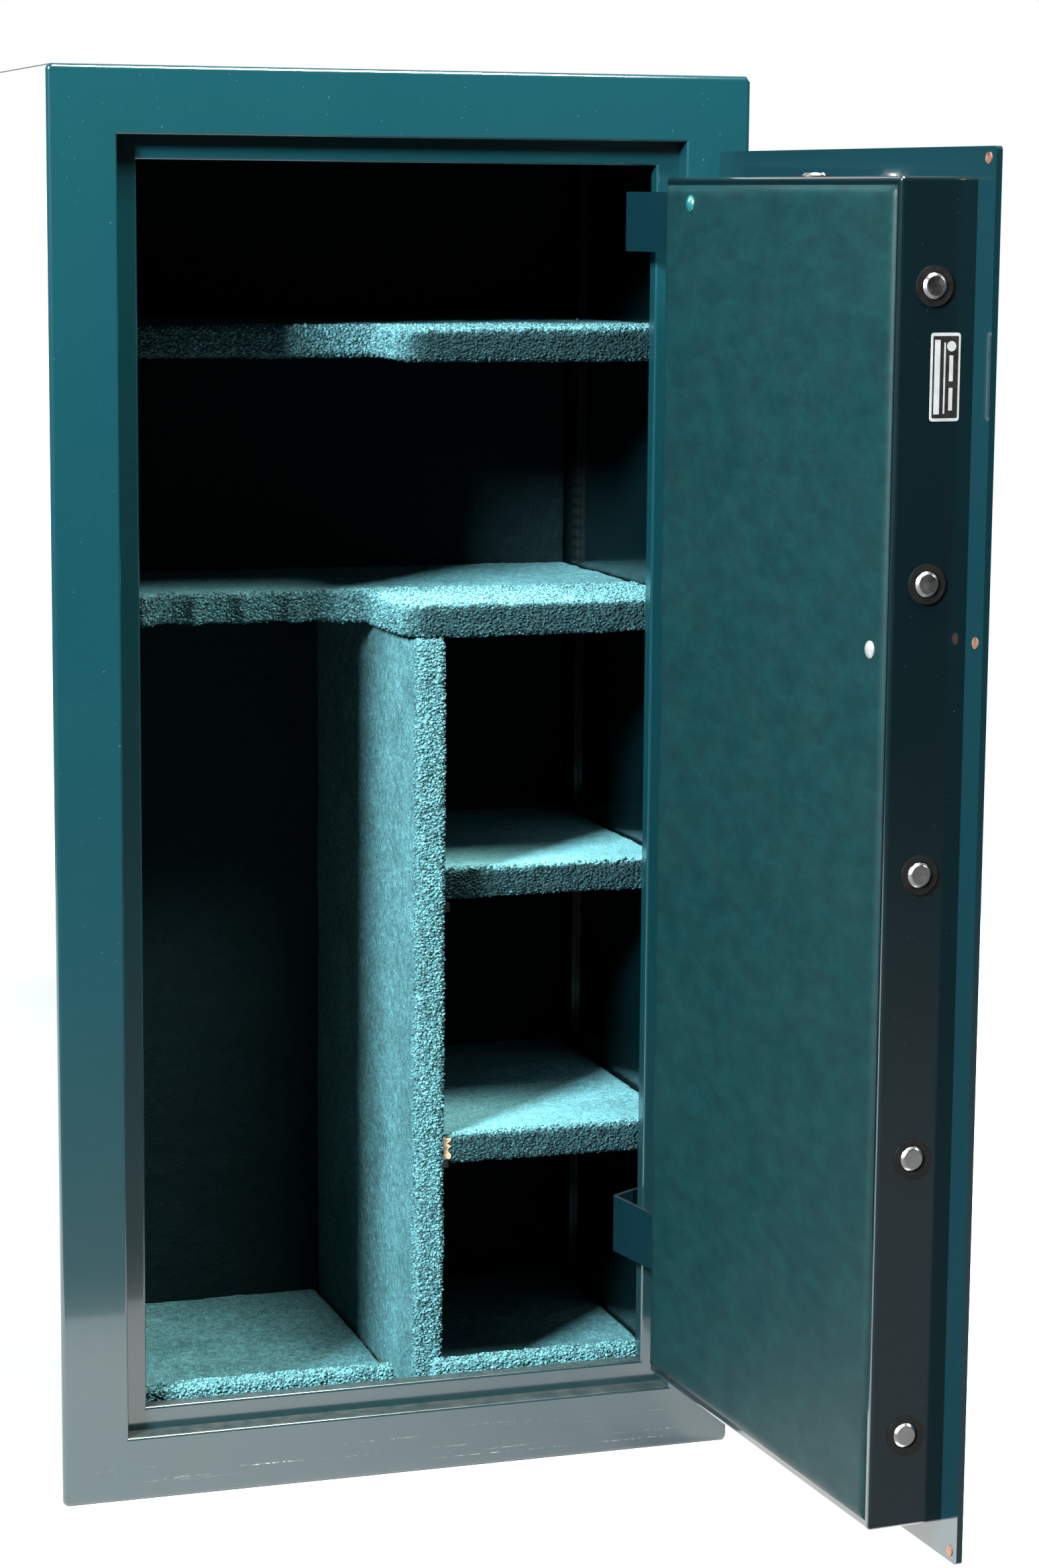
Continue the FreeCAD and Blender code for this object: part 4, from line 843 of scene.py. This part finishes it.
for light in (
        ("key", (-3.38, -2.81, 3.10), (0.1, 0.0, 0.90), (0.9, 0.9), 1850, (0.93, 0.98, 1.0)),
        ("overhead", (0.33, -1.06, 2.95), (-0.1, 0.0, 0.3), (0.8, 0.8), 280,
         (1.0, 0.96, 0.87)),
        ("rear", (3.3, 1.5, 2.9), (0.3, -0.1, 0.7), (2.0, 1.5), 650, (1.0, 1.0, 1.0))):
    area_light(*light)


FLOOR_HALF, FLOOR_MIDDLE = (4.5, 1.7, 1), (0.5, 0.75, 0)


def floor():
    """Plain pale paper under and behind the object."""
    shape = bmesh.new()
    bmesh.ops.create_grid(shape, x_segments=8, y_segments=8, size=1)
    bmesh.ops.scale(shape, vec=FLOOR_HALF, verts=shape.verts)
    bmesh.ops.translate(shape, vec=FLOOR_MIDDLE, verts=shape.verts)
    mesh = bpy.data.meshes.new("studio_floor")
    shape.to_mesh(mesh)
    shape.free()
    obj = bpy.data.objects.new("studio_floor", mesh)
    bpy.context.scene.collection.objects.link(obj)
    s = Shader("floor_paper", (0.45, 0.45, 0.45), 0.9, Specular_IOR_Level=0.1)
    mesh.materials.append(s.material)


def studio_world():
    """White to look at. What it casts on the object is dimmer and isn't even.

    There is a dim surround, a bright backdrop behind and a little to the left, which the
    cabinet's left side reflects at a grazing angle, and a glow from low in front.
    """
    world = bpy.data.worlds.new("studio")
    bpy.context.scene.world = world
    world.use_nodes = True
    tree = world.node_tree
    background = next(n for n in tree.nodes if n.type == "BACKGROUND")
    background.inputs["Color"].default_value = (1.0, 1.0, 1.0, 1)
    split = tree.nodes.new("ShaderNodeSeparateXYZ")
    tree.links.new(tree.nodes.new("ShaderNodeTexCoord").outputs["Generated"],
                   split.inputs["Vector"])

    def ramp(axis, start, end, low, high):
        node = tree.nodes.new("ShaderNodeMapRange")
        node.interpolation_type = "SMOOTHSTEP"
        tree.links.new(split.outputs[axis], node.inputs["Value"])
        for socket, number in (("From Min", start), ("From Max", end), ("To Min", low),
                               ("To Max", high)):
            node.inputs[socket].default_value = number
        return node.outputs["Result"]

    def combine(kind, a, b):
        node = tree.nodes.new("ShaderNodeMath")
        node.operation = kind
        tree.links.new(a, node.inputs[0])
        tree.links.new(b, node.inputs[1])
        return node.outputs["Value"]

    low_front = combine("MULTIPLY", ramp("Z", -0.13, -0.29, 0.0, 0.34),
                        ramp("Y", 0.1, -0.1, 0.0, 1.0))
    backdrop = combine("MULTIPLY", ramp("Y", 0.80, 0.95, 0.0, 3.1),
                       ramp("X", 0.02, -0.06, 0.0, 1.0))
    backdrop = combine("MULTIPLY", backdrop, ramp("X", -0.32, -0.20, 0.0, 1.0))
    around = combine("ADD", ramp("Y", -0.15, 0.35, 0.02, 0.24), backdrop)
    seen = tree.nodes.new("ShaderNodeLightPath").outputs["Is Camera Ray"]
    blend = tree.nodes.new("ShaderNodeMix")
    tree.links.new(seen, blend.inputs["Factor"])
    tree.links.new(combine("ADD", low_front, around), blend.inputs[2])
    blend.inputs[3].default_value = 1.0
    tree.links.new(blend.outputs[0], background.inputs["Strength"])


floor()
studio_world()

CAMERA_PLACE = (-1.0649, -3.9811, 1.3910)
CAMERA_TURN, CAMERA_DROP, CAMERA_ROLL = -17.90, 9.148, 0.48         # degrees

camera_data = bpy.data.cameras.new("camera")
camera_data.sensor_fit = "VERTICAL"
camera_data.sensor_height = 36.0
camera_data.lens = 83.22
camera = bpy.data.objects.new("camera", camera_data)
camera.matrix_world = (Matrix.Translation(CAMERA_PLACE)
                       @ Matrix.Rotation(math.radians(CAMERA_TURN), 4, "Z")
                       @ Matrix.Rotation(math.radians(90 - CAMERA_DROP), 4, "X")
                       @ Matrix.Rotation(math.radians(CAMERA_ROLL), 4, "Z"))
bpy.context.scene.collection.objects.link(camera)
bpy.context.scene.camera = camera
bpy.context.scene.view_settings.view_transform = "Standard"
